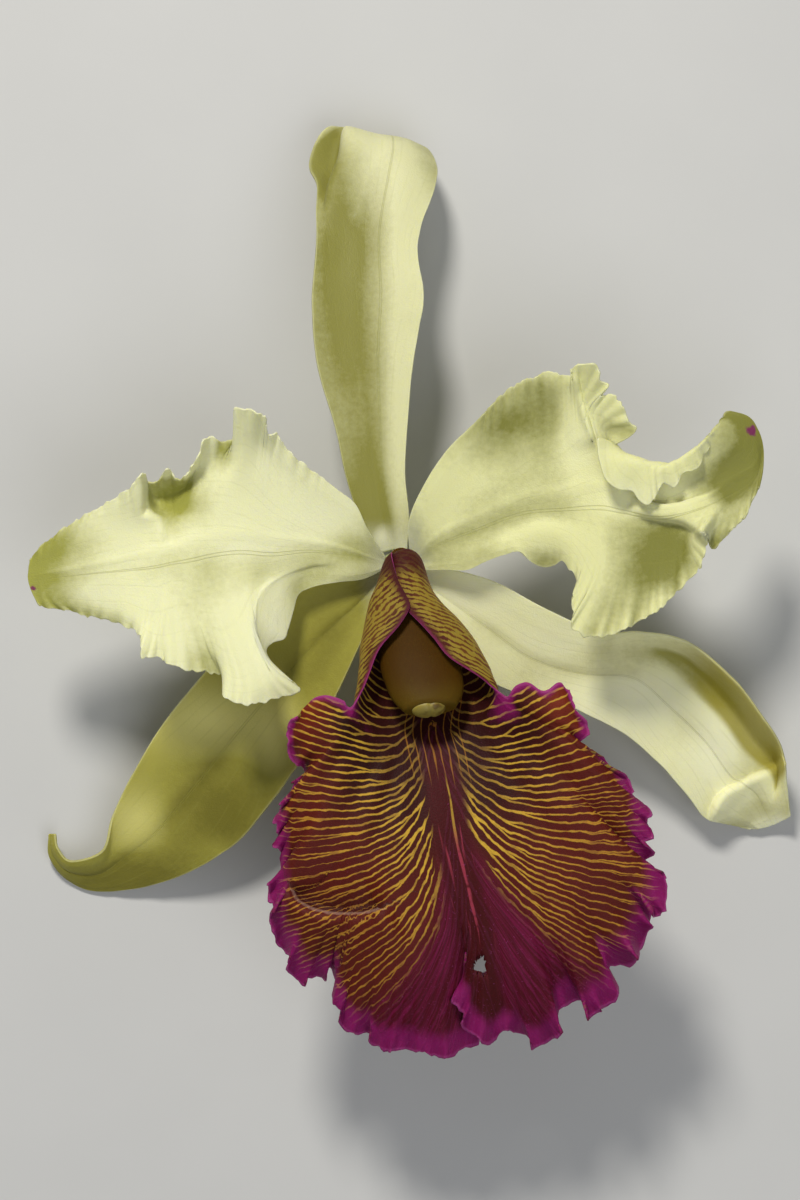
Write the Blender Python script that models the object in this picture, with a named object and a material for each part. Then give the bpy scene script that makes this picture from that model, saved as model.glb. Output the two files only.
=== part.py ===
# Cattleya bloom, as picked, lying face up on a table: Blender modelling script, metres, +Z up.
#
# +Z is the way the flower faces, +Y runs from its middle to the upright sepal, +X to the right petal.
# The origin is on the table, under the middle of the bloom's box.
#
# Outlines are in millimetres, as an eye straight above the bloom sees them at the scale of the
# flower's middle, with the true height above the table as the third number. along_sight() slides
# each point down its line of sight to that height.

import math

import bmesh
import bpy
import numpy as np
from mathutils import Vector

MM = 0.001

# Driving dimensions, in millimetres
CENTRE_HEIGHT = 30.0          # the flower's middle above the table
SIGHT_DISTANCE = 850.0        # the eye above the flower's middle
BOX_CENTRE = (3.2, 3.9)       # the bloom's box centre, from the line of sight
SEPAL_THICKNESS = 1.1
PETAL_THICKNESS = 0.9
LIP_THICKNESS = 0.9

# Faces along and across each leaf
SEPAL_CUTS = (24, 8)
PETAL_CUTS = (24, 12)
LIP_CUTS = (22, 48)

# Sepals: rows from base to tip, each from one margin across the midrib to the other
DORSAL_SEPAL_ROWS = [
    # base on the ovary
    [(-2, 9.9, 25.9), (-1.3, 10.2, 25.6), (-0.4, 10.3, 25.5), (0.5, 10.2, 25.6), (1.2, 9.9, 25.9)],
    [(-7.6, 16, 28), (-6, 16.4, 27), (-3.8, 17, 26.5), (-1.2, 17.2, 27), (1.6, 16.6, 28)],
    [(-10.8, 24.4, 29), (-8.6, 25.2, 27), (-5.2, 26, 26.2), (-1.8, 26, 27), (1, 25.6, 28.5)],
    [(-12.8, 35, 29.5), (-10, 36, 27), (-6, 36.6, 25.8), (-1.8, 36.4, 26.5), (1.6, 36, 28)],
    # widest part of the strap
    [(-16.6, 47.2, 29), (-12.6, 48, 26), (-7, 48.6, 24.8), (-1.6, 48.4, 25.5), (2.8, 48, 27)],
    [(-17.6, 60, 27.5), (-12.8, 60.6, 24.5), (-6.8, 61, 23.2), (-0.6, 61, 24), (4.8, 60.8, 25.5)],
    [(-16.8, 72, 25), (-12.4, 72.6, 22), (-6.8, 73, 20.8), (-1.4, 72.6, 21.5), (3.6, 71.4, 22)],
    # the left margin rolls back into an ear, and the end bends down to the table
    [(-16.8, 82, 17.5), (-14, 82.4, 20.5), (-5.6, 84, 18.5), (0.8, 84, 18), (6.8, 82.4, 16.5)],
    [(-18.6, 87, 11.5), (-11.6, 89.6, 16.6), (-4.4, 90.4, 14.8), (1.6, 89.6, 13.6), (7.2, 87, 11.5)],
    [(-16.4, 93, 8.5), (-11, 94, 12), (-4.4, 92.8, 9.6), (0.6, 92, 8.4), (5, 90.4, 7.2)],
    [(-13, 94.4, 5.5), (-9.6, 93.6, 6), (-5.6, 91.4, 4.2), (-1.4, 90.6, 3.4), (2, 89.6, 3.2)],
    [(-9.6, 89, 2), (-8, 89, 1.2), (-6.4, 88.8, 0.5), (-4.4, 88.4, 1), (-2.4, 87.8, 1.8)],
]
LEFT_SEPAL_ROWS = [
    # base on the ovary
    [(-3.6, 6.2, 26), (-3.4, 5.6, 25.7), (-3, 5, 25.6), (-2.5, 4.5, 25.7), (-1.9, 4.1, 26)],
    [(-10, 4, 26.5), (-9.6, 1.6, 25.2), (-8.8, -1, 24.6), (-8, -4, 24.6), (-7.2, -7.2, 25.4)],
    [(-20, 0, 25), (-18.4, -4, 23.6), (-16.8, -8.4, 22.8), (-14.8, -13, 22.6), (-12.4, -18.4, 23.8)],
    [(-31, -8, 22.5), (-28.6, -13, 20.8), (-25.6, -18.4, 19.8), (-22, -24.4, 19.6), (-18.2, -29.6, 20.8)],
    [(-41, -16.8, 19), (-38, -22.4, 17), (-34, -28.4, 15.8), (-29.6, -34, 15.8), (-25, -39.6, 16.8)],
    [(-48.6, -26.4, 15.5), (-45.6, -32, 13.4), (-41.6, -38, 12), (-37.4, -43.6, 11.4), (-32.4, -48.4, 11.8)],
    [(-53.8, -35.6, 12.5), (-51.8, -41, 10), (-48.8, -46.4, 8.4), (-45.2, -51, 7.2), (-42, -54.2, 6.8)],
    # the margin that rests on the table, then the hook
    [(-57.4, -43, 10), (-56.8, -47.2, 7.4), (-55.2, -51.4, 5.4), (-53.4, -54.8, 3.8), (-51.4, -57.4, 2.8)],
    [(-59.4, -50, 8), (-60, -52.4, 5.4), (-60.4, -54.6, 3.4), (-60.4, -56.6, 1.8), (-60.6, -58.2, 0.7)],
    [(-65.6, -52.2, 5.6), (-66, -53.2, 4.2), (-66.2, -54, 3), (-66.4, -55, 1.8), (-66.6, -55.8, 0.9)],
    [(-68.4, -49.8, 5.2), (-68.8, -50.2, 4.2), (-69.2, -50.6, 3.4), (-69.6, -51, 2.8), (-70, -51.4, 2.4)],
    [(-69, -46.8, 5.4), (-69.2, -46.8, 4.8), (-69.6, -46.8, 4.2), (-69.9, -46.8, 3.8), (-70.2, -46.8, 3.4)],
]
RIGHT_SEPAL_ROWS = [
    # base on the ovary
    [(2.8, 6.2, 26), (2.6, 5.6, 25.7), (2.2, 5, 25.6), (1.7, 4.5, 25.7), (1.1, 4.1, 26)],
    [(10, 6, 27), (9.2, 3.6, 25.4), (8.2, 1, 24.8), (7.4, -1.6, 24.8), (6, -4.4, 25.6)],
    [(19.4, 3.4, 26), (18.4, -0.8, 24), (17, -5.2, 23), (15.6, -9.6, 23), (14, -13.6, 23.8)],
    [(29.4, -2, 24), (28, -6.8, 22), (26.2, -11.6, 20.8), (24.6, -15.6, 20.6), (23.2, -18.6, 21)],
    [(40, -6.4, 22), (38.4, -10.4, 19.6), (36.4, -14.6, 18.2), (34.8, -18.2, 18), (33.4, -21.2, 18.4)],
    # the upper margin stands up past here
    [(48, -6.4, 22.5), (48, -10.4, 19.4), (46.6, -15.4, 16.4), (45.2, -20.6, 15.8), (44, -26.4, 16)],
    [(58, -8.6, 21.5), (56.4, -14.6, 17.4), (53.8, -21.2, 13.6), (52, -27, 13.2), (50.4, -31.4, 13.8)],
    [(67, -16.4, 18.5), (64.4, -22.4, 14), (61.2, -28.4, 10.6), (59, -33.6, 10.2), (57.2, -38.6, 10.8)],
    [(73, -24, 14.5), (69.8, -30, 10.2), (66.2, -35.2, 7.6), (63.2, -39.4, 7.2), (60.8, -43.4, 7.8)],
    # the curled end rests on the table
    [(76.2, -29.6, 10.5), (74.2, -34.2, 7.2), (70.6, -38, 4.6), (67.2, -41.2, 3.6), (63.8, -44.4, 3.4)],
    [(77.2, -37.4, 7), (75.2, -39.6, 4.6), (72.8, -41.6, 2.8), (70.2, -43.4, 1.6), (67.4, -45.2, 0.8)],
    [(78, -43.2, 4.2), (76.4, -44, 2.6), (74.6, -44.8, 1.4), (72.6, -45.4, 0.8), (70.6, -45.8, 0.6)],
]

# Petals: rows from base to tip, each from the upper margin across the midrib to the lower one
LEFT_PETAL_ROWS = [
    # base on the ovary
    [(-2.8, 8.6, 27.6), (-3, 8.1, 27.5), (-3.1, 7.6, 27.4),
     (-3.1, 7.1, 27.4), (-3.1, 6.6, 27.5), (-3, 6.2, 27.6)],
    [(-8.6, 19, 33), (-9.2, 15, 31.5), (-9.8, 11.4, 30.5),
     (-10, 9, 30.2), (-10, 6.4, 29.8), (-10, 4.2, 29.4)],
    [(-17.2, 26, 36), (-17.6, 20, 34), (-18, 14.6, 32.6),
     (-18, 9.6, 32), (-18.4, 5.6, 31), (-19.4, 2, 29)],
    # the upper ruffle stands up, and the lower margin dips into a fold
    [(-24.2, 33.2, 39.5), (-25, 24.6, 36), (-25.4, 16.4, 34.5),
     (-25.6, 8.8, 34), (-26.6, 0.8, 33), (-24.4, -6.8, 29.5)],
    [(-30.8, 37.8, 43), (-31.4, 28.2, 38), (-32, 18.4, 36),
     (-32, 8.8, 35.2), (-31.2, -1.6, 35.5), (-23.6, -14.8, 36)],
    [(-39.4, 31.6, 40.5), (-39.6, 25.2, 36.2), (-40, 16.6, 35.6),
     (-40.2, 8, 35.8), (-39, -3.6, 36.2), (-33, -19.8, 38)],
    # the hollow beside the second ruffle
    [(-47, 25.2, 38.5), (-46.6, 20, 33), (-45.6, 14, 34.8),
     (-45.6, 7.4, 36), (-43.8, -2.6, 36.3), (-39.8, -15, 37.8)],
    [(-51.6, 24.6, 40), (-50.6, 19, 36.2), (-50, 12.6, 35.6),
     (-50, 6.6, 36), (-48.6, -2, 36.2), (-45.6, -12.6, 38)],
    # the flat end
    [(-60, 19, 37.2), (-60, 14.6, 36.6), (-60, 9.8, 36.2),
     (-60, 5.2, 36), (-59.2, 1, 35.4), (-57.6, -4.4, 34.6)],
    [(-68.4, 13.2, 35.2), (-69, 10.2, 34.6), (-69.4, 7.2, 34.2),
     (-69.6, 4.2, 34), (-69.2, 1.2, 33.6), (-68, -2, 33)],
    [(-73, 9.6, 33.2), (-73.8, 7.6, 33), (-74.2, 5.6, 33),
     (-74.2, 3.6, 33), (-73.6, 1.4, 33), (-72, -1.4, 33)],
]
RIGHT_PETAL_ROWS = [
    # base on the ovary
    [(2, 8.6, 27.6), (2.2, 8.1, 27.5), (2.3, 7.6, 27.4),
     (2.3, 7.1, 27.4), (2.3, 6.6, 27.5), (2.2, 6.2, 27.6)],
    [(5, 22, 33), (5.8, 18, 32), (6.6, 14.6, 31),
     (7.6, 11, 30.4), (8.6, 8.4, 30.4), (9.4, 6.2, 30.6)],
    [(13, 33.4, 36), (13.8, 26.6, 34), (14.6, 20, 32.6),
     (15.4, 14, 32), (16.4, 10.2, 32.6), (17.4, 7.4, 33)],
    [(21.8, 41.8, 38), (22.8, 33, 35.6), (23.6, 24.4, 34),
     (24.4, 17.2, 33.5), (24.8, 12.6, 34.2), (24.8, 9.2, 34.2)],
    [(31, 45.4, 40), (30.8, 35, 36.6), (31.6, 26, 35.4),
     (32.6, 18, 35), (33.2, 12.4, 35.4), (32.4, 7.2, 34.4)],
    # the upper ruffle stands up, and the lower lobe hangs down
    [(37.4, 46.8, 44.5), (36.8, 36, 39), (38.4, 27, 37),
     (40, 18.4, 36.4), (39.4, 8, 36.4), (34.8, -5.6, 36)],
    [(44.8, 38, 43), (41.4, 33, 40), (43, 25, 38),
     (45, 17.6, 37), (45.8, 9, 37), (42.8, -6.8, 37)],
    # the upper margin folds over towards the eye
    [(49, 24, 42.5), (49.4, 26, 41.2), (51, 21, 38.2),
     (53, 16, 37.2), (53.4, 8.6, 37.6), (51.2, -3.4, 38.6)],
    [(56.6, 25.4, 43), (57.2, 28.2, 41.8), (58.4, 23, 39),
     (60, 18, 38.2), (60.4, 11.6, 39), (58.4, 3.2, 40)],
    # the end lobe
    [(63, 33, 41), (63.6, 33.6, 40.4), (64.4, 26.4, 39),
     (65.4, 20, 38.2), (64.4, 14, 40), (61.8, 10, 41)],
    [(66.4, 37.4, 39), (68.4, 34.6, 38.8), (70, 29, 38.2),
     (70.4, 23.4, 38.2), (69, 18, 39.4), (65.6, 12.6, 41)],
    [(69.6, 37, 38), (71.4, 34, 37.2), (72.6, 30.2, 37),
     (72.6, 26.6, 37.2), (71.6, 21.8, 38), (69.6, 17.6, 40)],
]

# The column's axis, from its foot on the ovary to its blunt tip
COLUMN_FOOT = (0.4, 6.8, 32)
COLUMN_TIP = (4.8, -22.4, 52)
COLUMN_PROFILE = [
    # place along the axis, half width, half depth
    (-0.09, 1.8, 1.8),
    (0.00, 2.1, 2.1),
    (0.25, 3.7, 2.9),
    (0.50, 5.4, 3.3),
    (0.78, 7.2, 3.5),
    (0.92, 5.9, 3.1),
    (0.98, 4.2, 2.4),
]
COLUMN_SIDES = 16
CAP_HALF_SIZE = (3.1, 2.3, 2.3)     # across, towards the eye, ahead of the column's end
CAP_GAP = 0.3

# The lip's tube round the column
TUBE_PROFILE = [
    # place along the column, half width, sideways shift, height over the axis, depth under it,
    # and the angles from its top to the left and right margins in degrees
    (0.00, 3.2, 0.2, 4.6, 4.3, 8, 8),
    (0.25, 6.2, -0.9, 5.6, 6.2, 5, 5),
    (0.50, 10.3, 0.3, 6.0, 8.0, 10, 6),
    (0.75, 12.5, 1.1, 5.6, 9.4, 48, 10),
    (1.00, 14.4, 0.7, 4.2, 10.0, 79, 72),
]
MOUTH_SLANT = 0.08      # how much sooner the tube ends at its margins than at its floor

# The front lobe's margin, from the tube's left side round the front to its right side
LIP_MARGIN = [
    (-18.2, -22.8, 50), (-22, -29.6, 49), (-20.4, -36.8, 47), (-24.2, -42.4, 47), (-25, -50, 44),
    (-24.8, -57.2, 44.5), (-25.6, -65, 43), (-22.4, -73.2, 40), (-16.4, -76.4, 41.5), (-12.8, -83, 39.5),
    (-6, -88, 41), (3, -90.4, 39.5), (11.4, -90.4, 41), (20.2, -87.6, 39.5), (29, -88.4, 41),
    (35.6, -82, 39.5), (42, -78.8, 41), (46, -72.4, 41), (49.6, -65, 43.5), (52.8, -58, 43.5),
    (49.6, -50.4, 44.5), (50, -42.4, 47.5), (44, -34.4, 48), (37.2, -27, 51), (33.8, -18, 52),
]
SIDE_SWELL = 2.0        # how far the lobe swells towards the eye between throat and margin, at its sides
FRONT_SWELL = 6.0       # and how much more it swells along its middle

# The ovary and its stalk: points along it, in true millimetres, with its radius at each
PEDICEL_PATH = [
    (-0.4, 7.2, 25.5, 3.0),
    (-0.4, 6.2, 21.5, 2.9),
    (-0.3, 3.2, 16.0, 3.0),
    (0.0, -3.0, 10.0, 2.9),
    (0.8, -12.0, 5.6, 2.7),
    (2.0, -24.0, 3.4, 2.5),
    (3.2, -38.0, 2.5, 2.4),
    (4.4, -52.0, 2.45, 2.4),
]
PEDICEL_RINGS = 22
PEDICEL_SIDES = 12
OVARY_DOME = (0.95, 0.75, 0.45)     # heights of the rings on the ovary's rounded top, in radii


def clear_scene():
    for thing in list(bpy.data.objects):
        bpy.data.objects.remove(thing, do_unlink=True)


def material(name, colour, roughness):
    made = bpy.data.materials.new(name)
    made.use_nodes = True
    shader = made.node_tree.nodes["Principled BSDF"]
    shader.inputs["Base Color"].default_value = (*colour, 1.0)
    shader.inputs["Roughness"].default_value = roughness
    shader.inputs["Metallic"].default_value = 0.0
    return made


def along_sight(points):
    # Slides points given at the scale of the flower's middle down their lines of sight
    points = np.asarray(points, float)
    scale = 1.0 - (points[..., 2:] - CENTRE_HEIGHT) / SIGHT_DISTANCE
    return np.concatenate([points[..., :2] * scale, points[..., 2:]], axis=-1)


def on_table(point):
    # True millimetres from the line of sight to metres from the bloom's own origin
    return Vector((point[0] - BOX_CENTRE[0], point[1] - BOX_CENTRE[1], point[2])) * MM


def smooth_at(stations, t):
    # A smooth curve through evenly spaced stations (the first axis), at t from 0 to 1
    stations = np.asarray(stations, float)
    before_first = 2 * stations[0] - stations[1]
    after_last = 2 * stations[-1] - stations[-2]
    padded = np.concatenate([[before_first], stations, [after_last]])
    place = min(max(t, 0.0), 1.0) * (len(stations) - 1)
    i = min(int(place), len(stations) - 2)
    f = place - i
    before, start, end, after = padded[i:i + 4]
    leaving = (end - before) / 2
    arriving = (after - start) / 2
    return ((2 * f**3 - 3 * f**2 + 1) * start + (f**3 - 2 * f**2 + f) * leaving
            + (3 * f**2 - 2 * f**3) * end + (f**3 - f**2) * arriving)


def link(name, bm, finish):
    bm.normal_update()
    mesh = bpy.data.meshes.new(name)
    bm.to_mesh(mesh)
    bm.free()
    mesh.shade_smooth()
    mesh.materials.append(finish)
    thing = bpy.data.objects.new(name, mesh)
    bpy.context.scene.collection.objects.link(thing)
    return thing


def sheet(name, surface, cuts, thickness, finish):
    # A leaf of even thickness over surface(u, v), u from base to tip and v from margin to margin
    bm = bmesh.new()
    bmesh.ops.create_grid(bm, x_segments=cuts[0], y_segments=cuts[1], size=0.5)
    for vert in bm.verts:
        vert.co = on_table(surface(vert.co.x + 0.5, vert.co.y + 0.5))
    leaf = link(name, bm, finish)
    wall = leaf.modifiers.new("thickness", "SOLIDIFY")
    wall.thickness = thickness * MM
    wall.offset = 0.0
    return leaf


def tepal_surface(rows):
    rows = along_sight(rows)

    def surface(u, v):
        return smooth_at(smooth_at(rows, u), v)

    return surface


def column_frame():
    # The column's foot, the step from foot to tip, and the directions ahead, sideways and towards the eye
    foot, tip = along_sight([COLUMN_FOOT, COLUMN_TIP])
    axis = tip - foot
    ahead = axis / np.linalg.norm(axis)
    side = np.array([1.0, 0.0, 0.0]) - ahead[0] * ahead
    side = side / np.linalg.norm(side)
    up = np.cross(ahead, side)
    if up[2] < 0:
        up = -up
    return foot, axis, ahead, side, up


def profile_at(profile, place):
    # Straight between the rows of a profile whose first column is the place along the axis
    table = np.asarray(profile, float)
    return [np.interp(place, table[:, 0], table[:, i]) for i in range(1, table.shape[1])]


def tube_point(place, v):
    # v runs from the left margin, under the column, to the right margin
    foot, axis, _, side, up = column_frame()
    width, shift, height, depth, left, right = profile_at(TUBE_PROFILE, place)
    turn = math.radians(left + (360 - left - right) * v)
    rise = math.cos(turn)
    along = place * (1 - MOUTH_SLANT * abs(2 * v - 1) ** 3)
    return (foot + along * axis + side * (shift - width * math.sin(turn))
            + up * (height if rise > 0 else depth) * rise)


def lip_surface():
    margin = along_sight(LIP_MARGIN)

    def surface(u, v):
        stations = [tube_point(row[0], v) for row in TUBE_PROFILE]
        mouth = stations[-1]
        edge = smooth_at(margin, v)
        swell = SIDE_SWELL + FRONT_SWELL * math.sin(math.pi * v) ** 2
        for part in (0.25, 0.5, 0.75):
            lift = np.array([0.0, 0.0, swell * 4 * part * (1 - part)])
            stations.append(mouth + (edge - mouth) * part + lift)
        stations.append(edge)
        return smooth_at(stations, u)

    return surface


def ring_body(name, rings, finish):
    # A closed body through rings of points, with flat ends
    bm = bmesh.new()
    loops = []
    for ring in rings:
        verts = [bm.verts.new(on_table(point)) for point in ring]
        loops.append([bm.edges.new((verts[i - 1], verts[i])) for i in range(len(verts))])
    for first, second in zip(loops, loops[1:]):
        bmesh.ops.bridge_loops(bm, edges=first + second)
    for end in (loops[0], loops[-1]):
        bmesh.ops.contextual_create(bm, geom=end)
    bmesh.ops.recalc_face_normals(bm, faces=bm.faces)
    return link(name, bm, finish)


def circle_turns(sides):
    return [2 * math.pi * i / sides for i in range(sides)]


def column(finish):
    foot, axis, _, side, up = column_frame()
    rings = []
    for place, half_width, half_depth in COLUMN_PROFILE:
        middle = foot + place * axis
        rings.append([middle + side * half_width * math.cos(turn) + up * half_depth * math.sin(turn)
                      for turn in circle_turns(COLUMN_SIDES)])
    return ring_body("column", rings, finish)


def anther_cap(finish):
    # A low dome on the column's blunt end
    foot, axis, ahead, side, up = column_frame()
    seat = foot + COLUMN_PROFILE[-1][0] * axis + ahead * CAP_GAP
    across, towards, forward = CAP_HALF_SIZE
    bm = bmesh.new()
    bmesh.ops.create_uvsphere(bm, u_segments=16, v_segments=10, radius=1.0)
    whole = bm.verts[:] + bm.edges[:] + bm.faces[:]
    cut = bmesh.ops.bisect_plane(bm, geom=whole, plane_co=(0, 0, 0), plane_no=(0, 0, -1), clear_outer=True)
    rim = [item for item in cut["geom_cut"] if isinstance(item, bmesh.types.BMEdge)]
    bmesh.ops.contextual_create(bm, geom=rim)
    for vert in bm.verts:
        x, y, z = vert.co
        vert.co = on_table(seat + side * x * across + up * y * towards + ahead * z * forward)
    bm.normal_update()
    bmesh.ops.recalc_face_normals(bm, faces=bm.faces)
    return link("anther_cap", bm, finish)


def pedicel(finish):
    # The ovary's rounded top, then the tapering stalk to its cut end
    path = np.asarray(PEDICEL_PATH, float)
    rings = []
    for i in range(PEDICEL_RINGS):
        place = i / (PEDICEL_RINGS - 1)
        here = smooth_at(path, place)
        ahead = Vector(smooth_at(path, place + 0.01)[:3] - smooth_at(path, place - 0.01)[:3]).normalized()
        side = Vector((1.0, 0.0, 0.0)).cross(ahead).normalized()
        across = ahead.cross(side)
        middle = Vector(here[:3])
        rings.append([middle + (side * math.cos(turn) + across * math.sin(turn)) * here[3]
                      for turn in circle_turns(PEDICEL_SIDES)])
    middle = Vector(path[0][:3])
    radius = path[0][3]
    dome = []
    for lift in OVARY_DOME:
        shrink = math.sqrt(1 - lift**2)
        rise = Vector((0, 0, radius * lift))
        dome.append([middle + (point - middle) * shrink + rise for point in rings[0]])
    return ring_body("pedicel", dome + rings, finish)


def build():
    clear_scene()
    cream = material("pale yellow petal", (0.78, 0.80, 0.42), 0.55)
    olive = material("yellow green sepal", (0.68, 0.72, 0.33), 0.5)
    wine = material("magenta lip", (0.28, 0.02, 0.09), 0.5)
    amber = material("pale column", (0.72, 0.66, 0.36), 0.4)
    green = material("green stalk", (0.26, 0.38, 0.10), 0.5)

    sheet("dorsal_sepal", tepal_surface(DORSAL_SEPAL_ROWS), SEPAL_CUTS, SEPAL_THICKNESS, olive)
    sheet("lateral_sepal_left", tepal_surface(LEFT_SEPAL_ROWS), SEPAL_CUTS, SEPAL_THICKNESS, olive)
    sheet("lateral_sepal_right", tepal_surface(RIGHT_SEPAL_ROWS), SEPAL_CUTS, SEPAL_THICKNESS, olive)
    sheet("petal_left", tepal_surface(LEFT_PETAL_ROWS), PETAL_CUTS, PETAL_THICKNESS, cream)
    sheet("petal_right", tepal_surface(RIGHT_PETAL_ROWS), PETAL_CUTS, PETAL_THICKNESS, cream)
    sheet("lip", lip_surface(), LIP_CUTS, LIP_THICKNESS, wine)
    column(amber)
    anther_cap(amber)
    pedicel(green)


build()
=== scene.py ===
import math

import bmesh
import bpy
import numpy as np
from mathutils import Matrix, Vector


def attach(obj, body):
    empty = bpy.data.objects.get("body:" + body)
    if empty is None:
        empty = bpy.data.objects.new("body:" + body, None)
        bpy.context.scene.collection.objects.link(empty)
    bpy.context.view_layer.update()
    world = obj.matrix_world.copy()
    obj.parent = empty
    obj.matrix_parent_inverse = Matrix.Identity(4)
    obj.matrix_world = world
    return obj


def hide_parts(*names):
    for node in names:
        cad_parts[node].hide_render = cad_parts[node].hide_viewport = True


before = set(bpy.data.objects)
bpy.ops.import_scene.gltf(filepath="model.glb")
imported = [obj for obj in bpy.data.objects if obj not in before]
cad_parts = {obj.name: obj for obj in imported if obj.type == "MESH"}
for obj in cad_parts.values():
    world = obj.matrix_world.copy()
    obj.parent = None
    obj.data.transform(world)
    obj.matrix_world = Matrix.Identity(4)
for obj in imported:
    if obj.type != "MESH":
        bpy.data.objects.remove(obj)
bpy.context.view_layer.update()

# Every outline below is in millimetres, as an eye straight above the bloom sees it at the scale of the
# flower's middle, with the true height above the table last
sight = {"middle": 30.0, "distance": 850.0, "boxCentre": (3.2, 3.9), "mm": 0.001}


def alongSight(points):
    points = np.asarray(points, float)
    scale = 1 - (points[..., 2:] - sight["middle"]) / sight["distance"]
    return np.concatenate([points[..., :2] * scale, points[..., 2:]], axis=-1)


def seenFromAbove(points):
    return points[:, :2] / (1 - (points[:, 2:] - sight["middle"]) / sight["distance"])


def onTable(points):
    return (points - np.array([*sight["boxCentre"], 0])) * sight["mm"]


def curveThrough(stations, values, places):
    # A smooth curve through values at uneven stations, read at places
    stations = np.asarray(stations, float)
    values = np.asarray(values, float)
    slopes = np.gradient(values, stations, axis=0)
    i = np.clip(np.searchsorted(stations, places, side="right") - 1, 0, len(stations) - 2)
    step = (stations[i + 1] - stations[i])[:, None]
    f = (np.asarray(places)[:, None] - stations[i][:, None]) / step
    return ((2 * f**3 - 3 * f**2 + 1) * values[i] + (f**3 - 2 * f**2 + f) * step * slopes[i]
            + (3 * f**2 - 2 * f**3) * values[i + 1] + (f**3 - f**2) * step * slopes[i + 1])


def evenCurve(values, places):
    return curveThrough(np.linspace(0, 1, len(values)), values, places)


def weightsAt(stations, places):
    return curveThrough(stations, np.eye(len(stations)), places)


def smooth(low, high, x):
    f = np.clip((x - low) / (high - low), 0, 1)
    return f * f * (3 - 2 * f)


def bell(x, middle, width):
    return np.exp(-((x - middle) / width) ** 2)


def wavering(places, wavelength, seed):
    # Smooth random numbers between about -1 and 1 along a line, one swing per wavelength
    dice = np.random.default_rng(seed)
    knots = dice.uniform(-1, 1, 4096)
    where = np.asarray(places) / wavelength + 100      # starts well inside the list
    i = np.floor(where).astype(int)
    f = where - i
    f = f * f * (3 - 2 * f)
    return knots[i] * (1 - f) + knots[i + 1] * f


def arcAlong(points):
    return np.concatenate([[0], np.cumsum(np.linalg.norm(np.diff(points, axis=0), axis=1))])


def besideLine(places, line):
    # The number of the line's nearest point, the distance to it, and whether the place is on the line's left
    gaps = places[:, None] - line[None]
    nearest = (gaps**2).sum(2).argmin(1)
    gap = gaps[np.arange(len(places)), nearest]
    heading = np.gradient(line, axis=0)[nearest]
    left = heading[:, 0] * gap[:, 1] - heading[:, 1] * gap[:, 0] > 0
    return nearest, np.linalg.norm(gap, axis=1), left


creaseDrawing = {"steps": 90, "within": 40, "fade": 0.2}


def addCreases(points, v, creases):
    # Lifts the sheet beside a line: softly on the line's left, and with a sharp drop on its right
    steps, fade = creaseDrawing["steps"], creaseDrawing["fade"]
    for crease in creases:
        line = evenCurve(crease["line"], np.linspace(0, 1, steps))
        seen = seenFromAbove(points)
        near = np.flatnonzero((np.abs(seen - line.mean(0)) < creaseDrawing["within"]).all(axis=1)
                              & (v >= crease.get("from", 0)) & (v <= crease.get("to", 1)))
        nearest, apart, left = besideLine(seen[near], line)
        place = nearest / (steps - 1)
        share = smooth(0, fade, place) * smooth(1, 1 - fade, place)
        reach = np.where(left, crease["soft"], crease["sharp"])
        points[near, 2] += crease["height"] * share * bell(apart, 0, reach)


def gridMesh(cuts):
    # A flat grid, the places of its points along u and v, and their numbers laid out in rows
    bm = bmesh.new()
    bmesh.ops.create_grid(bm, x_segments=cuts[0], y_segments=cuts[1], size=0.5)
    u, v = (np.array([vert.co[:2] for vert in bm.verts]) + 0.5).T
    rows = np.lexsort((np.round(v, 6), np.round(u, 6))).reshape(cuts[0] + 1, cuts[1] + 1)
    return bm, u, v, rows


def byPoint(rows, values):
    # Numbers laid out in a grid's rows, put back in the order of its points
    listed = np.empty(rows.size)
    listed[rows] = values
    return listed


def walked(grid, axis):
    # The length of the way over a grid from its first row or column to each point
    steps = np.linalg.norm(np.diff(grid, axis=axis), axis=2)
    return np.insert(np.cumsum(steps, axis=axis), 0, 0, axis=axis)


def hollows(height, reach, passes=3):
    # How far each point of a grid lies below its surroundings
    blurred = height
    for _ in range(passes):
        for axis, step in enumerate(reach):
            places = np.arange(height.shape[axis])
            shifted = [np.take(blurred, np.clip(places + k * step // 2, 0, len(places) - 1), axis=axis)
                       for k in (-2, -1, 0, 1, 2)]
            blurred = sum(shifted) / len(shifted)
    return blurred - height


def meshFrom(bm, name):
    mesh = bpy.data.meshes.new(name)
    bm.to_mesh(mesh)
    bm.free()
    return mesh


def standIn(name, mesh, materials, node):
    # The finished piece, which takes its plain solid's place
    mesh.shade_smooth()
    for look in materials:
        mesh.materials.append(look)
    piece = bpy.data.objects.new(name, mesh)
    bpy.context.scene.collection.objects.link(piece)
    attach(piece, "root")
    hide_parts(node)
    print("made", name, len(mesh.polygons), "faces")
    return piece


thicknessLevels = 12


def finishSheet(name, bm, points, marks, shape, edge, materials, node):
    # Points in true millimetres. marks are numbers that the materials read. edge is 1 inside and 0 at the
    # margin
    mesh = meshFrom(bm, name)
    mesh.vertices.foreach_set("co", onTable(points).astype(np.float32).ravel())
    for mark, numbers in marks.items():
        layer = mesh.attributes.new(mark, "FLOAT", "POINT")
        layer.data.foreach_set("value", np.asarray(numbers, np.float32))
    sheet = standIn(name, mesh, materials, node)
    group = sheet.vertex_groups.new(name="thickness")
    bins = np.round(edge * thicknessLevels).astype(int)
    for level in range(thicknessLevels + 1):
        group.add(np.flatnonzero(bins == level).tolist(), level / thicknessLevels, "REPLACE")
    wall = sheet.modifiers.new("thickness", "SOLIDIFY")
    wall.thickness = shape["thickness"] * sight["mm"]
    wall.offset = 0.0
    wall.vertex_group = "thickness"
    wall.thickness_vertex_group = shape["edgeShare"]
    if len(materials) > 1:
        wall.material_offset = 1
        wall.material_offset_rim = 0
    return sheet


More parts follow.
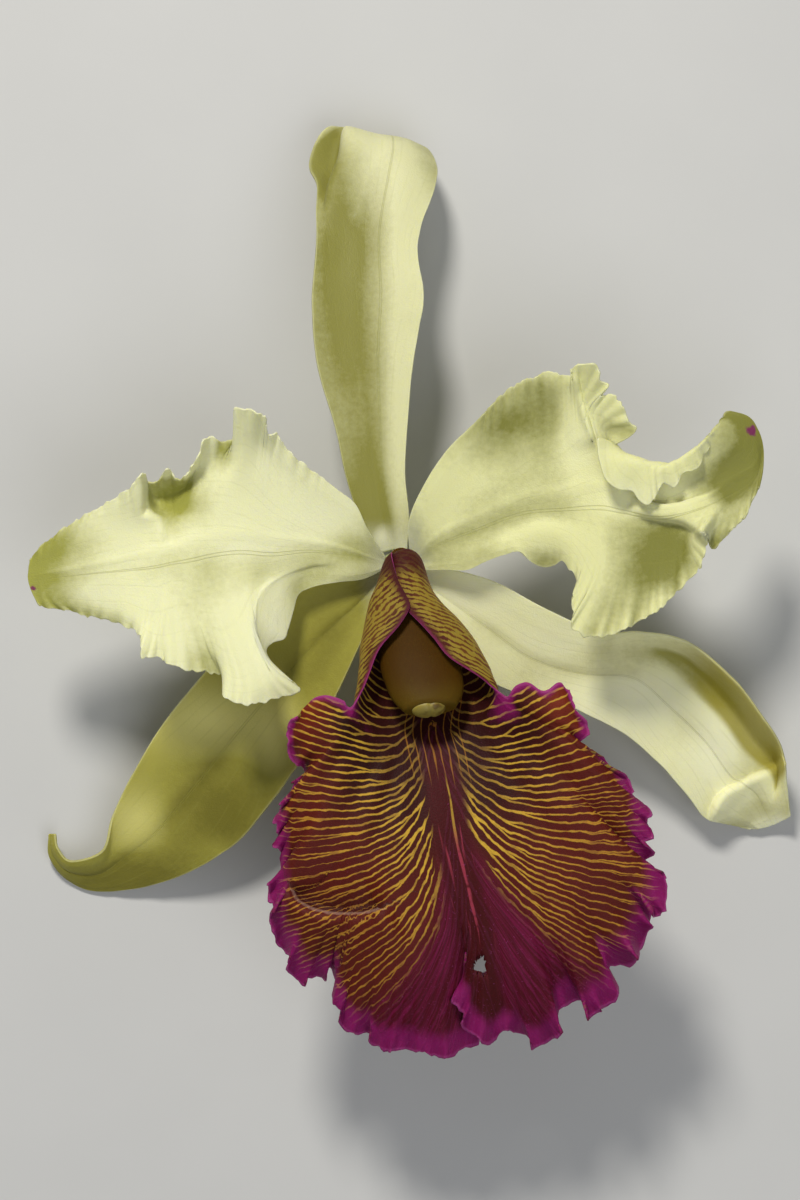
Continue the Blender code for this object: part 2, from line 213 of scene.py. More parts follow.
def stationed(line):
    # A line's own stations, where it has them, or else even ones, and its points
    line = np.asarray(line, float)
    if line.shape[1] == 4:
        return line[:, 0], line[:, 1:]
    return np.linspace(0, 1, len(line)), line


# What the margins of all petals and sepals have in common, in mm and in shares of their length
marginHabit = {
    "crowding": 0.6,                                # how much closer the rows are at both margins
    "steps": 1500, "lift": 0.3,                     # of the curves that the teeth stand on
    "wake": 0.12, "calmFade": 0.03, "calmShare": 0.9,
    "fineTooth": 0.9, "fineLength": 0.42, "toothReach": 0.6,
    "wander": 2.5, "wanderLength": 5, "thins": 4, "foldReach": 0.07, "channelWidth": 1.3,
}


def addMargins(points, leaf, u, v):
    # Teeth and pleats on the two margins, which fade towards the base
    habit = marginHabit
    fine = np.linspace(0, 1, habit["steps"])
    across = sorted(leaf["lines"])
    for side, (margin, inner) in enumerate(((across[0], across[1]), (across[-1], across[-2]))):
        rim = curveThrough(*stationed(leaf["lines"][margin]), fine)
        out = rim - curveThrough(*stationed(leaf["lines"][inner]), fine)
        out[:, 2] *= habit["lift"]
        out /= np.linalg.norm(out, axis=1)[:, None] + 1e-9
        arc = np.interp(u, fine, arcAlong(rim))
        outward = np.stack([np.interp(u, fine, out[:, k]) for k in range(3)], axis=1)
        inset = (v if side == 0 else 1 - v) * leaf["width"]
        awake = smooth(leaf["quiet"], leaf["quiet"] + habit["wake"], u)
        for calmSide, start, end in leaf.get("calm", []):
            if calmSide == side:
                awake *= 1 - (habit["calmShare"] * smooth(start - habit["calmFade"], start, u)
                              * smooth(end + habit["calmFade"], end, u))
        length = leaf["toothLength"]
        teeth = (wavering(arc, length, 11 + side)
                 + habit["fineTooth"] * wavering(arc, length * habit["fineLength"], 13 + side))
        points += outward * (teeth * leaf["toothDepth"] * awake
                             * np.exp(-inset / habit["toothReach"]))[:, None]
        pleat = np.sin(2 * np.pi * arc / leaf["pleatLength"]
                       + habit["wander"] * wavering(arc, habit["wanderLength"], 17 + side))
        points[:, 2] += pleat * leaf["pleatHeight"] * awake * np.exp(-inset / leaf["pleatReach"])


def makeTepal(name, node, leaf, materials):
    # A leaf from its long lines: lines maps a place across (0 upper or left margin, 1 the other) to points
    # along it. A point is (x, y, z) on an even line, or (u, x, y, z)
    habit = marginHabit
    bm, u, v, rows = gridMesh(leaf["cuts"])
    v = v - habit["crowding"] * np.sin(2 * np.pi * v) / (2 * np.pi)
    v = (v - v.min()) / (v.max() - v.min())
    across = sorted(leaf["lines"])
    weights = weightsAt(across, v)
    points = np.zeros((len(u), 3))
    for column, key in enumerate(across):
        stations, line = stationed(leaf["lines"][key])
        points += weights[:, column:column + 1] * curveThrough(stations, alongSight(line), u)
    addMargins(points, leaf, u, v)
    for fold in leaf.get("folds", []):
        share = smooth(fold["along"][0], fold["along"][1], u) * smooth(fold["along"][3], fold["along"][2], u)
        dip = bell(v, fold["at"], fold["width"]) * share
        points[:, :2] += np.outer(dip, fold["push"])
        points[:, 2] -= dip * fold["depth"]
        points[:, 2] += fold["rim"] * share * bell(v, round(fold["at"]), habit["foldReach"])
    addCreases(points, v, leaf.get("creases", []))
    edge = np.minimum(np.minimum(v, 1 - v) * leaf["width"], (1 - u) * leaf["length"]) / habit["thins"]
    points[:, 2] -= (leaf["channel"] * bell((v - 0.5) * leaf["width"], 0, habit["channelWidth"])
                     * smooth(0, 0.1, u) * smooth(1, 0.8, u))
    # How deep each point lies in a fold, which the skin turns into painted shade in the folds and painted
    # light on the crests
    hollow = byPoint(rows, hollows(points[rows][..., 2], leaf["hollowReach"]))
    seen = seenFromAbove(points)
    # The strokes' painted shade and painted light, summed at each point
    shade = np.zeros(len(u))
    for x, y, wide, tall, share in leaf["paintedLightAndShade"]:
        shade += share * np.exp(-((seen[:, 0] - x) / wide) ** 2 - ((seen[:, 1] - y) / tall) ** 2)
    marks = {"along": u, "across": v, "hollow": hollow, "shade": shade}
    finishSheet(name, bm, points, marks, leaf, np.clip(edge, 0, 1), materials, node)


class Wire:
    # A socket that Python's own operators work on
    def __init__(self, paint, socket):
        self.paint = paint
        self.socket = socket

    def __add__(self, other):
        return self.paint.maths("ADD", self, other)

    __radd__ = __add__

    def __sub__(self, other):
        return self.paint.maths("SUBTRACT", self, other)

    def __rsub__(self, other):
        return self.paint.maths("SUBTRACT", other, self)

    def __mul__(self, other):
        return self.paint.maths("MULTIPLY", self, other)

    __rmul__ = __mul__

    def __truediv__(self, other):
        return self.paint.maths("DIVIDE", self, other)

    def __rtruediv__(self, other):
        return self.paint.maths("DIVIDE", other, self)

    def __pow__(self, other):
        return self.paint.maths("POWER", self, other)

    def __rpow__(self, other):
        return self.paint.maths("POWER", other, self)

    def __abs__(self):
        return self.paint.maths("ABSOLUTE", self)

    def between(self, low, high):
        # 0 below low, 1 above high, smooth on the way
        node = self.paint.add("ShaderNodeMapRange", {"interpolation_type": "SMOOTHSTEP"},
                              {"Value": self, "From Min": low, "From Max": high})
        return Wire(self.paint, node.outputs["Result"])


class Paint:
    # One material, and the few ways of adding nodes to it
    def __init__(self, name, **fixed):
        self.material = bpy.data.materials.new(name)
        self.material.use_nodes = True
        self.tree = self.material.node_tree
        self.shader = self.tree.nodes["Principled BSDF"]
        for socket, value in fixed.items():
            self.shader.inputs[socket.replace("_", " ")].default_value = value
        self.position = Wire(self, self.add("ShaderNodeTexCoord").outputs["Object"])

    def plug(self, socket, value):
        if isinstance(value, Wire):
            self.tree.links.new(value.socket, socket)
        elif socket.type == "RGBA":
            socket.default_value = (*value, 1.0)
        else:
            socket.default_value = value

    def add(self, kind, settings=None, inputs=None):
        node = self.tree.nodes.new(kind)
        for key, value in (settings or {}).items():
            setattr(node, key, value)
        for key, value in (inputs or {}).items():
            self.plug(node.inputs[key], value)
        return node

    def maths(self, operation, *values):
        node = self.add("ShaderNodeMath", {"operation": operation}, dict(enumerate(values)))
        return Wire(self, node.outputs[0])

    def clamp(self, value, low, high):
        return self.maths("MINIMUM", self.maths("MAXIMUM", value, low), high)

    def mark(self, name):
        return Wire(self, self.add("ShaderNodeAttribute", {"attribute_name": name}).outputs["Fac"])

    def vector(self, x, y, z=0.0):
        return Wire(self, self.add("ShaderNodeCombineXYZ", None, {"X": x, "Y": y, "Z": z}).outputs[0])

    def split(self):
        node = self.add("ShaderNodeSeparateXYZ", None, {0: self.position})
        return [Wire(self, node.outputs[k]) for k in range(3)]

    def grain(self, *settings):
        return self.noise(self.position, *settings)

    def noise(self, vector, scale, detail=2.0, roughness=0.5):
        node = self.add("ShaderNodeTexNoise", {"noise_dimensions": "3D"},
                        {"Vector": vector, "Scale": scale, "Detail": detail, "Roughness": roughness})
        return Wire(self, node.outputs["Fac"])

    def cells(self, scale):
        node = self.add("ShaderNodeTexVoronoi", None, {"Vector": self.position, "Scale": scale})
        return Wire(self, node.outputs["Distance"])

    def dice(self, key):
        node = self.add("ShaderNodeTexWhiteNoise", {"noise_dimensions": "1D"}, {"W": key})
        return Wire(self, node.outputs["Value"])

    def mix(self, share, first, second):
        node = self.add("ShaderNodeMix", {"data_type": "RGBA", "clamp_factor": True},
                        {0: share, 6: first, 7: second})
        return Wire(self, node.outputs[2])

    def over(self, ground, *layers):
        # Lays colours over the ground one after the other, each with its share
        for share, colour in layers:
            ground = self.mix(share, ground, colour)
        return ground

    def finish(self, colour, roughness=None, height=None, bump=(0.0002, 0.5)):
        # bump is its distance in metres and its strength
        self.plug(self.shader.inputs["Base Color"], colour)
        if roughness is not None:
            self.plug(self.shader.inputs["Roughness"], roughness)
        if height is not None:
            relief = self.add("ShaderNodeBump", None,
                              {"Height": height, "Distance": bump[0], "Strength": bump[1]})
            self.plug(self.shader.inputs["Normal"], Wire(self, relief.outputs[0]))
        return self.material


tepalColours = {"rim": (0.86, 0.86, 0.56), "foot": (0.80, 0.81, 0.60), "vein": (0.34, 0.34, 0.07),
                "spot": (0.20, 0.010, 0.11)}
# base and tip: how much deeper the colour is there. rib: its place across. paintedShadeSide: painted shade
# down one side, as its share, then the places across and along where it starts and is full. flap: a rolled
# margin with painted shade inside it. pale: the colour of painted light
# spot: a stain at the tip, as its places along and across and how far it reaches along each
tepalLooks = {
    "upright_sepal": {"ground": (0.66, 0.655, 0.37), "deep": (0.25, 0.24, 0.05), "base": 0.35, "tip": 0.0,
        "rib": 0.62, "veins": 5, "lines": 0.08, "paintedShadeSide": (0.85, 0.92, 0.30, 0.86, 0.52), "cloudy": 0.35,
        "pale": (0.90, 0.89, 0.60)},
    # Darker all over than the lower right sepal, as painted shade
    "lower_left_sepal": {"ground": (0.40, 0.37, 0.062), "deep": (0.20, 0.18, 0.022), "base": 0.2, "tip": 0.2,
        "rib": 0.5, "veins": 5, "lines": 0.14, "pale": (0.85, 0.80, 0.28)},
    # Its deeper tip is painted shade
    "lower_right_sepal": {"ground": (0.84, 0.83, 0.48), "deep": (0.38, 0.36, 0.09), "base": 0.0, "tip": 0.25,
        "pale": (0.98, 0.97, 0.66), "rib": 0.5, "veins": 5, "lines": 0.10,
        "flap": (0.34, 0.5, 0.89, (0.36, 0.31, 0.03))},
    "left_petal": {"ground": (0.82, 0.82, 0.49), "deep": (0.36, 0.36, 0.075), "base": 0.35, "tip": 0.75,
        "rib": 0.585, "veins": 8, "lines": 0.08, "pale": (0.97, 0.97, 0.70), "spot": (0.985, 0.72, 60, 18)},
    # Darker than the left petal, as painted shade
    "right_petal": {"ground": (0.74, 0.74, 0.38), "deep": (0.23, 0.23, 0.045), "base": 0.30, "tip": 0.55,
        "rib": 0.6, "veins": 8, "lines": 0.08, "pale": (0.95, 0.95, 0.62), "spot": (0.97, 0.30, 45, 18)},
}


# Grains are noise scales for each metre, with their detail and roughness, and the rest are shares
tepalSkin = {
    "clouds": (38, 3), "patches": (170, 3, 0.6), "mottle": (1000, 3, 0.6), "cells": 3200,
    "stainGrain": (700, 2),
    "ribShade": (0.14, 0.20), "cloudShade": 0.8, "patchShade": 0.45, "hollowShade": 0.7, "mottleShade": 0.35,
    "least": 0.06, "baseEnd": 0.32, "tipStart": 0.72, "foot": (0.09, 0.7), "rim": (0.482, 0.499, 0.25),
    "ribLines": (0.010, 0.0040, 0.3), "stain": (1.4, 1.1, 0.6, 0.9),
    "roughness": (0.42, 0.22), "bump": (0.00014, 0.5),
}


def fanningVeins(paint, along, across, look):
    # Fine veins that fan out from the base to the margins, closer together towards the tip
    fan = (across - look["rib"]) / (along + 0.16) ** 1.4
    fan = fan + (paint.noise(paint.vector(along * 4.0, across * 5.0), 1.6, 2) - 0.5) * 0.10
    dashes = paint.noise(paint.vector(along * 14.0, fan * 14.0), 1.0, 2)
    near = paint.maths("PINGPONG", fan * look["veins"], 0.5).between(0.13, 0.02)
    far = paint.maths("PINGPONG", fan * look["veins"] * 2.0, 0.5).between(0.15, 0.03)
    return (near + (far - near) * along.between(0.35, 0.55)) * dashes.between(0.38, 0.62)


def tepalMaterial(name):
    look, skin, colours = tepalLooks[name], tepalSkin, tepalColours
    paint = Paint(name + " skin", Subsurface_Weight=0.3, Subsurface_Scale=0.0014,
                  Subsurface_Radius=(1.0, 0.9, 0.2),
                  Specular_IOR_Level=0.25, Sheen_Weight=0.02)
    along = paint.mark("along")
    across = paint.mark("across")
    hollow = paint.clamp(paint.mark("hollow"), -0.3, 0.8)
    clouds, patches, mottle = (paint.grain(*skin[key]) for key in ("clouds", "patches", "mottle"))
    cloudy = look.get("cloudy", 1.0)
    # The strokes' painted shade and painted light
    shade = paint.mark("shade") * (0.9 + 0.2 * patches)
    middle = abs(across - look["rib"])
    # Greener down the middle and in cloudy patches, deeper in the folds as painted shade and paler on the
    # crests as painted light
    ribReach, ribShare = skin["ribShade"]
    depth = (middle.between(ribReach, 0.0) * ribShare + (clouds - 0.5) * skin["cloudShade"] * cloudy
             + (patches - 0.5) * skin["patchShade"] * cloudy + hollow * skin["hollowShade"]
             + (mottle - 0.5) * skin["mottleShade"] + along.between(skin["baseEnd"], 0.05) * look["base"]
             + along.between(skin["tipStart"], 1.0) * look["tip"] + skin["least"] + shade)
    # Painted shade down one side
    if "paintedShadeSide" in look:
        share, acrossFrom, acrossFull, alongFrom, alongFull = look["paintedShadeSide"]
        depth = depth + ((across + (patches - 0.5) * 0.1).between(acrossFrom, acrossFull)
                         * along.between(alongFrom, alongFull) * share)
    vein = fanningVeins(paint, along, across, look)
    layers = [(paint.clamp(depth, 0.0, 1.0), look["deep"]),
              (paint.clamp(shade * -1.0, 0.0, 1.0), look["pale"]),      # painted light, where the strokes take colour away
              (vein * look["lines"], colours["vein"])]
    if "flap" in look:
        # Painted shade inside the rolled margin
        acrossEnd, alongStart, alongEnd, inside = look["flap"]
        flapShade = ((across + (clouds - 0.5) * 0.1).between(acrossEnd, acrossEnd - 0.05)
                  * along.between(alongStart, alongStart + 0.12) * along.between(alongEnd, alongEnd - 0.03))
        layers.append((flapShade * 0.85, inside))
    # The midrib, two thin lines side by side
    apart, half, ribShare = skin["ribLines"]
    rib = abs(middle - apart * (1.2 - along))
    ribLine = rib.between(half, 0.001) * along.between(0.98, 0.75) * along.between(0.02, 0.10)
    footEnd, footShare = skin["foot"]
    rimFrom, rimFull, rimShare = skin["rim"]
    layers += [(ribLine * ribShare, colours["vein"]),
               (along.between(footEnd, 0.0) * footShare, colours["foot"]),
               (abs(across - 0.5).between(rimFrom, rimFull) * rimShare, colours["rim"])]
    if "spot" in look:
        spotAlong, spotAcross, alongScale, acrossScale = look["spot"]
        offAlong = (along - spotAlong) * alongScale
        offAcross = (across - spotAcross) * acrossScale
        distance = paint.maths("SQRT", offAlong * offAlong + offAcross * offAcross)
        ragged, outside, inside, stainShare = skin["stain"]
        stain = (distance + (paint.grain(*skin["stainGrain"]) - 0.5) * ragged).between(outside, inside)
        layers.append((stain * stainShare, colours["spot"]))
    height = paint.cells(skin["cells"]) * 0.45 - vein * 0.2 - ribLine + mottle * 0.7
    least, more = skin["roughness"]
    return paint.finish(paint.over(look["ground"], *layers), least + more * patches, height, skin["bump"])


petalWhole = {"cuts": (400, 110), "thickness": 0.8, "edgeShare": 0.4, "width": 45.0, "length": 75.0,
              "quiet": 0.14, "toothLength": 1.7, "toothDepth": 0.36, "pleatLength": 3.0,
              "pleatHeight": 0.32, "pleatReach": 3.4,
              "channel": -0.18, "hollowReach": (26, 10)}
sepalWhole = {"cuts": (220, 60), "thickness": 1.0, "edgeShare": 0.5, "width": 22.0, "length": 85.0,
              "quiet": 0.2, "toothLength": 9.0, "toothDepth": 0.1, "pleatLength": 16.0,
              "pleatHeight": 0.12, "pleatReach": 3.0,
              "channel": 0.22, "hollowReach": (14, 8)}

# paintedLightAndShade: soft strokes of painted shade, which deepen the colour, and of painted light, which
# make it paler below nothing, as place, width, height and share
petalLeft = dict(petalWhole, calm=[(1, 0.1, 0.37)], paintedLightAndShade=[
    (-42, 19.5, 6, 4, 0.55), (-35, 29.5, 3.5, 3, 0.4), (-66, 11, 7, 3, 0.5), (-9.5, 10, 5, 5, 0.35),
    (-17, 17, 9, 5, -0.25), (-24, 28, 6, 8, -0.2), (-24.5, -6, 4, 9, -0.6), (-30, 10, 9, 3, -0.25),
    (-60, 1, 6, 2, -0.2),
], creases=[
    {"line": [(-51.6, 26.0), (-51.0, 22.0), (-51.2, 16.4)], "height": -2.2, "soft": 6.5, "sharp": 0.6},
], lines={
    0.0: [(0, -2.8, 8.6, 27.6), (0.06, -6.6, 14.4, 31), (0.1, -8.8, 19, 33), (0.145, -12.4, 22, 34.5),
          (0.2, -17, 25.6, 36), (0.26, -21.4, 29.2, 38), (0.295, -23.8, 32.2, 39.5),
          (0.312, -24.4, 33.4, 40.5), (0.335, -26.6, 33.6, 42), (0.35, -26.8, 36.4, 44),
          (0.375, -28.8, 37.6, 45.5), (0.4, -30.8, 38.4, 45), (0.425, -33.2, 37.8, 43.5),
          (0.44, -32.2, 35, 41), (0.45, -31.8, 32.8, 39), (0.465, -35, 31.8, 38.5), (0.48, -37.4, 32.4, 40),
          (0.495, -39.4, 31.8, 41.5), (0.51, -40, 29.4, 41), (0.53, -41.6, 27, 40), (0.55, -42.6, 25, 38.5),
          (0.57, -44.6, 24, 37.5), (0.59, -46.2, 26.2, 39.5), (0.605, -47.4, 25.6, 39.5),
          (0.625, -48.6, 24, 37), (0.655, -50.8, 23.8, 36.5), (0.68, -51.2, 25.2, 40.5),
          (0.7, -52.6, 24.6, 41), (0.72, -53.8, 22.8, 40), (0.75, -55.8, 21.2, 39),
          (0.79, -58.6, 19.4, 37.8), (0.84, -63, 17, 36.5), (0.885, -66.8, 14.6, 35.6),
          (0.925, -69.8, 12.4, 34.6), (0.965, -72.6, 10, 33.6), (1, -74, 8, 33.1)],
    0.14: [(0, -3, 8.2, 27.5), (0.1, -9.1, 16.2, 32), (0.2, -17.5, 21.8, 34.6), (0.3, -24.9, 27.4, 37),
           (0.36, -28.2, 31, 39), (0.4, -31.2, 31.4, 40), (0.44, -34, 29, 37.5), (0.5, -39.6, 27.2, 36.6),
           (0.56, -43.6, 22.4, 33.4), (0.6, -46.6, 21.6, 32.4), (0.655, -49.6, 20.4, 32.6),
           (0.69, -51.2, 20.4, 37.8), (0.74, -54.8, 18.2, 37.6), (0.8, -60, 15.8, 36.8),
           (0.9, -69, 10.8, 34.8), (1, -74.2, 6.9, 33)],
    0.3: [(-3.1, 7.9, 27.4), (-9.6, 12.8, 31), (-17.8, 17, 33.2), (-25.2, 20.4, 35.2), (-31.8, 23.4, 36.8),
          (-39.8, 20.8, 35.8), (-46, 16.6, 33.8), (-50.2, 15.4, 35.8), (-60, 12.2, 36.4), (-69.2, 8.6, 34.4),
          (-74.3, 5.8, 33)],
    0.5: [(-3.1, 7.4, 27.4), (-9.9, 10, 30.3), (-18, 11.8, 32.3), (-25.5, 12.4, 34.2), (-32, 13.4, 35.6),
          (-40.1, 12.2, 35.7), (-45.6, 10.6, 35.5), (-50, 9.6, 35.8), (-60, 7.4, 36.1), (-69.5, 5.6, 34.1),
          (-74.4, 4.4, 33)],
    0.7: [(-3.1, 6.9, 27.4), (-10, 7.6, 30), (-18.2, 7.4, 31.6), (-26.4, 4.8, 33.6), (-31.8, 3.2, 35.6),
          (-39.6, 1.8, 36), (-44.8, 2, 36.2), (-49.4, 1.8, 36.2), (-59.6, 2.8, 35.8), (-69.4, 2.6, 33.8),
          (-74, 2.6, 33)],
    0.88: [(0, -3.1, 6.4, 27.5), (0.1, -10, 5.4, 29.8), (0.2, -19.6, 5.6, 31), (0.25, -24.8, 2.6, 32.8),
           (0.29, -27.6, -0.8, 34.6), (0.33, -28.8, -5, 36.2), (0.36, -28.6, -8.4, 37.2),
           (0.385, -27, -11.4, 38), (0.41, -26, -13.8, 38.4), (0.44, -28, -15.6, 38.8),
           (0.48, -33, -15.2, 38.2), (0.52, -36.6, -11, 36.6), (0.57, -40.4, -9, 36.6),
           (0.62, -44.8, -8, 37.2), (0.67, -49, -6.8, 37.2), (0.7, -50.6, -5.4, 37), (0.75, -54.8, -2.6, 36),
           (0.8, -59, -1.6, 35.2), (0.9, -68.6, -0.2, 33.4), (1, -73.2, 0.6, 33)],
    1.0: [(0, -3, 6.2, 27.6), (0.06, -7.4, 4.2, 28.8), (0.12, -12.4, 3.6, 29.6), (0.18, -18, 2.4, 30),
          (0.215, -20.4, 1, 30), (0.25, -21.4, -2.4, 30.4), (0.285, -22.4, -5.8, 31),
          (0.305, -23.2, -7.8, 31.8), (0.325, -25.6, -8.6, 33), (0.345, -26.8, -10.4, 34.4),
          (0.365, -25.2, -13.2, 36), (0.385, -22, -16, 37.4), (0.4, -20, -17.8, 37.5),
          (0.42, -23, -19.2, 38), (0.44, -26.4, -20.2, 38.5), (0.46, -29.6, -20.8, 39),
          (0.48, -33, -20.4, 39), (0.5, -35.4, -19.6, 38), (0.515, -35, -17.4, 36),
          (0.53, -34.8, -15.4, 34.5), (0.555, -37.6, -14.8, 35), (0.575, -39.2, -14.2, 36),
          (0.6, -42.4, -14, 37), (0.62, -44.6, -13.4, 38), (0.64, -46.8, -12.6, 37.6),
          (0.655, -47.8, -11.4, 37), (0.67, -50.2, -11.4, 38.5), (0.69, -51.8, -11.2, 39.5),
          (0.705, -51.8, -8, 38), (0.72, -52.8, -6.4, 36.5), (0.75, -55.2, -5.2, 35.4),
          (0.79, -58.6, -4.2, 34.6), (0.84, -63, -3, 33.8), (0.9, -66.8, -2, 33.2), (0.96, -70.8, -1.6, 33),
          (1, -72.4, -0.8, 33)],
})

petalRight = dict(petalWhole, calm=[(1, 0.0, 0.36), (0, 0.60, 0.72)], paintedLightAndShade=[
    (20, 36, 9, 6.5, 0.75), (28, 43, 7, 3, 0.4), (36, 31, 5, 8, -0.45), (45, 20, 5, 3.5, -0.6),
    (55, 21.5, 4, 3, -0.5), (52, 7, 10, 7, 0.75), (44, -2, 6, 5, 0.3), (17, 9.5, 9, 3, 0.3),
    (68, 31, 6, 9, 0.6), (66, 24, 5, 4, 0.4),
], creases=[
    {"line": [(39.0, 30.0), (36.4, 38.0), (34.4, 47.0)], "height": 1.3, "soft": 3.5, "sharp": 0.5, "to": 0.5},
    {"line": [(45.0, 18.4), (52.4, 16.8), (57.0, 15.8), (62.4, 12.0)], "height": 2.4, "soft": 6.0,
     "sharp": 0.7,
     "from": 0.5},
], lines={
    0.0: [(0, 2, 8.6, 27.6), (0.045, 1.8, 16, 30.5), (0.09, 5, 23.4, 33), (0.135, 9.4, 30, 34.6),
          (0.18, 14.4, 35, 36), (0.225, 19, 39.8, 37.2), (0.26, 22, 42.4, 38), (0.29, 24.2, 43.8, 38.6),
          (0.32, 27, 44.8, 39.2), (0.355, 30, 45.6, 40), (0.385, 32.2, 45.4, 40.6), (0.41, 34.4, 45, 41.4),
          (0.42, 34.2, 46, 43), (0.435, 36, 47.2, 44.6), (0.455, 38.4, 47.2, 45.4), (0.47, 39.8, 45.8, 45),
          (0.485, 40, 44.2, 44), (0.5, 41.6, 42.8, 43.4), (0.515, 40, 40.6, 42), (0.53, 42, 41, 42.4),
          (0.545, 43.6, 39.8, 42.8), (0.56, 45.2, 37.8, 42.6), (0.575, 45.6, 35.8, 42),
          (0.59, 47.4, 34.6, 41.6), (0.605, 46.4, 33, 40.6), (0.615, 44.4, 31.8, 39.8),
          (0.625, 41.6, 30.8, 40.2), (0.635, 39.8, 32.4, 42.6), (0.65, 39.6, 30, 43.4),
          (0.665, 40, 27.4, 43.6), (0.68, 41.2, 24, 43.2), (0.695, 43.6, 22.2, 42.6), (0.71, 46.4, 21.8, 42),
          (0.725, 47.8, 20, 42), (0.74, 50, 19, 42.4), (0.755, 51.2, 20.8, 42.8), (0.77, 52.2, 22.8, 42.6),
          (0.79, 55, 22.6, 42.4), (0.81, 56.2, 25, 42.8), (0.83, 59, 26.2, 42.6), (0.86, 60.6, 28.6, 42),
          (0.89, 62.4, 31.8, 41.4), (0.92, 63.4, 34.6, 40.6), (0.96, 64.2, 36.6, 39.6), (1, 66, 37.8, 38.6)],
    0.12: [(0, 2.1, 8.3, 27.5), (0.09, 5.6, 19.6, 32.2), (0.18, 13.6, 29.4, 34.4), (0.27, 22.4, 37, 36.2),
           (0.36, 30.8, 39.6, 37.4), (0.44, 35.6, 41, 39.6), (0.5, 37.6, 38.6, 40), (0.56, 40.6, 35.4, 39.2),
           (0.6, 42, 32.8, 38.2), (0.64, 43, 30.6, 40), (0.67, 44.4, 29, 42), (0.7, 46.6, 27.6, 42.8),
           (0.74, 49.8, 26.2, 43), (0.78, 53, 26.4, 43), (0.82, 56.4, 28.2, 42.8), (0.86, 59.6, 30.6, 42.4),
           (0.9, 62.4, 33.4, 41.4), (0.94, 64.8, 35.6, 40), (1, 69, 37, 37.8)],
    0.36: [(2.3, 7.7, 27.4), (6.4, 15.4, 31.2), (14.4, 21.4, 33), (23.4, 26.4, 34.4), (31.4, 28, 35.6),
           (37.8, 29, 37.2), (42.6, 26.4, 38), (50.6, 21.8, 38.2), (58.2, 23.6, 39), (64.2, 27.6, 39.2),
           (69.6, 30.4, 38.4), (71.6, 34, 37.2)],
    0.6: [(2.3, 7.1, 27.4), (7.6, 11, 30.4), (15.4, 14, 32), (24.4, 17.2, 33.5), (32.6, 18, 35),
          (40, 18.4, 36.4), (45, 17.6, 37), (53, 16.6, 37.6), (59.6, 18, 38.4), (65.4, 20.6, 38.2),
          (70.4, 24, 38), (72.7, 30, 37)],
    0.82: [(0, 2.3, 6.6, 27.5), (0.091, 8.6, 8.2, 30.4), (0.182, 16.4, 10, 32.8), (0.273, 25, 12.2, 34.4),
           (0.364, 33.6, 11.8, 35.6), (0.43, 38.6, 6, 36.4), (0.5, 41.6, 2.4, 36.4), (0.56, 46, 3.6, 36.6),
           (0.63, 52, 5.6, 37), (0.7, 57, 9.4, 38), (0.745, 59, 12.4, 39.6), (0.775, 60.2, 14, 41.2),
           (0.81, 62.2, 14.4, 39.2), (0.86, 65.4, 16.4, 39), (0.92, 69.4, 20.6, 38.6), (1, 72.6, 26, 37.8)],
    1.0: [(0, 2.2, 6.2, 27.6), (0.05, 4.6, 5.9, 29.2), (0.09, 9, 6, 30.6), (0.135, 13.4, 6, 31.8),
          (0.18, 17.4, 7.8, 33), (0.22, 21.4, 9.2, 34), (0.25, 24, 9.6, 34.4), (0.275, 26, 7.8, 33.6),
          (0.3, 28.4, 6.6, 33), (0.33, 31, 7, 33.4), (0.355, 32.6, 7.8, 34.4), (0.375, 34, 6, 35),
          (0.395, 35.4, 3.4, 35.6), (0.415, 34.2, -0.2, 36), (0.43, 34.8, -2.4, 36.6),
          (0.45, 34.2, -5.2, 36.4), (0.475, 36, -6.8, 36), (0.505, 38.4, -7.4, 36), (0.54, 42.4, -6.8, 36.6),
          (0.565, 45, -6.2, 37.4), (0.59, 47, -4.8, 37), (0.615, 50, -3.4, 38.2), (0.64, 53, -1, 38.6),
          (0.66, 54.2, 0.6, 38), (0.69, 57.4, 3.6, 39), (0.715, 59.4, 5.6, 39), (0.74, 60.8, 9, 40),
          (0.76, 61.4, 11.6, 41), (0.775, 61.2, 13, 42), (0.79, 61.8, 11.8, 39), (0.81, 62.2, 10.2, 38),
          (0.84, 63.6, 11, 38.6), (0.88, 66.4, 13.8, 39.2), (0.92, 69, 16.6, 39.8), (0.96, 70.4, 19.8, 39.4),
          (1, 71.8, 22.4, 39)],
})

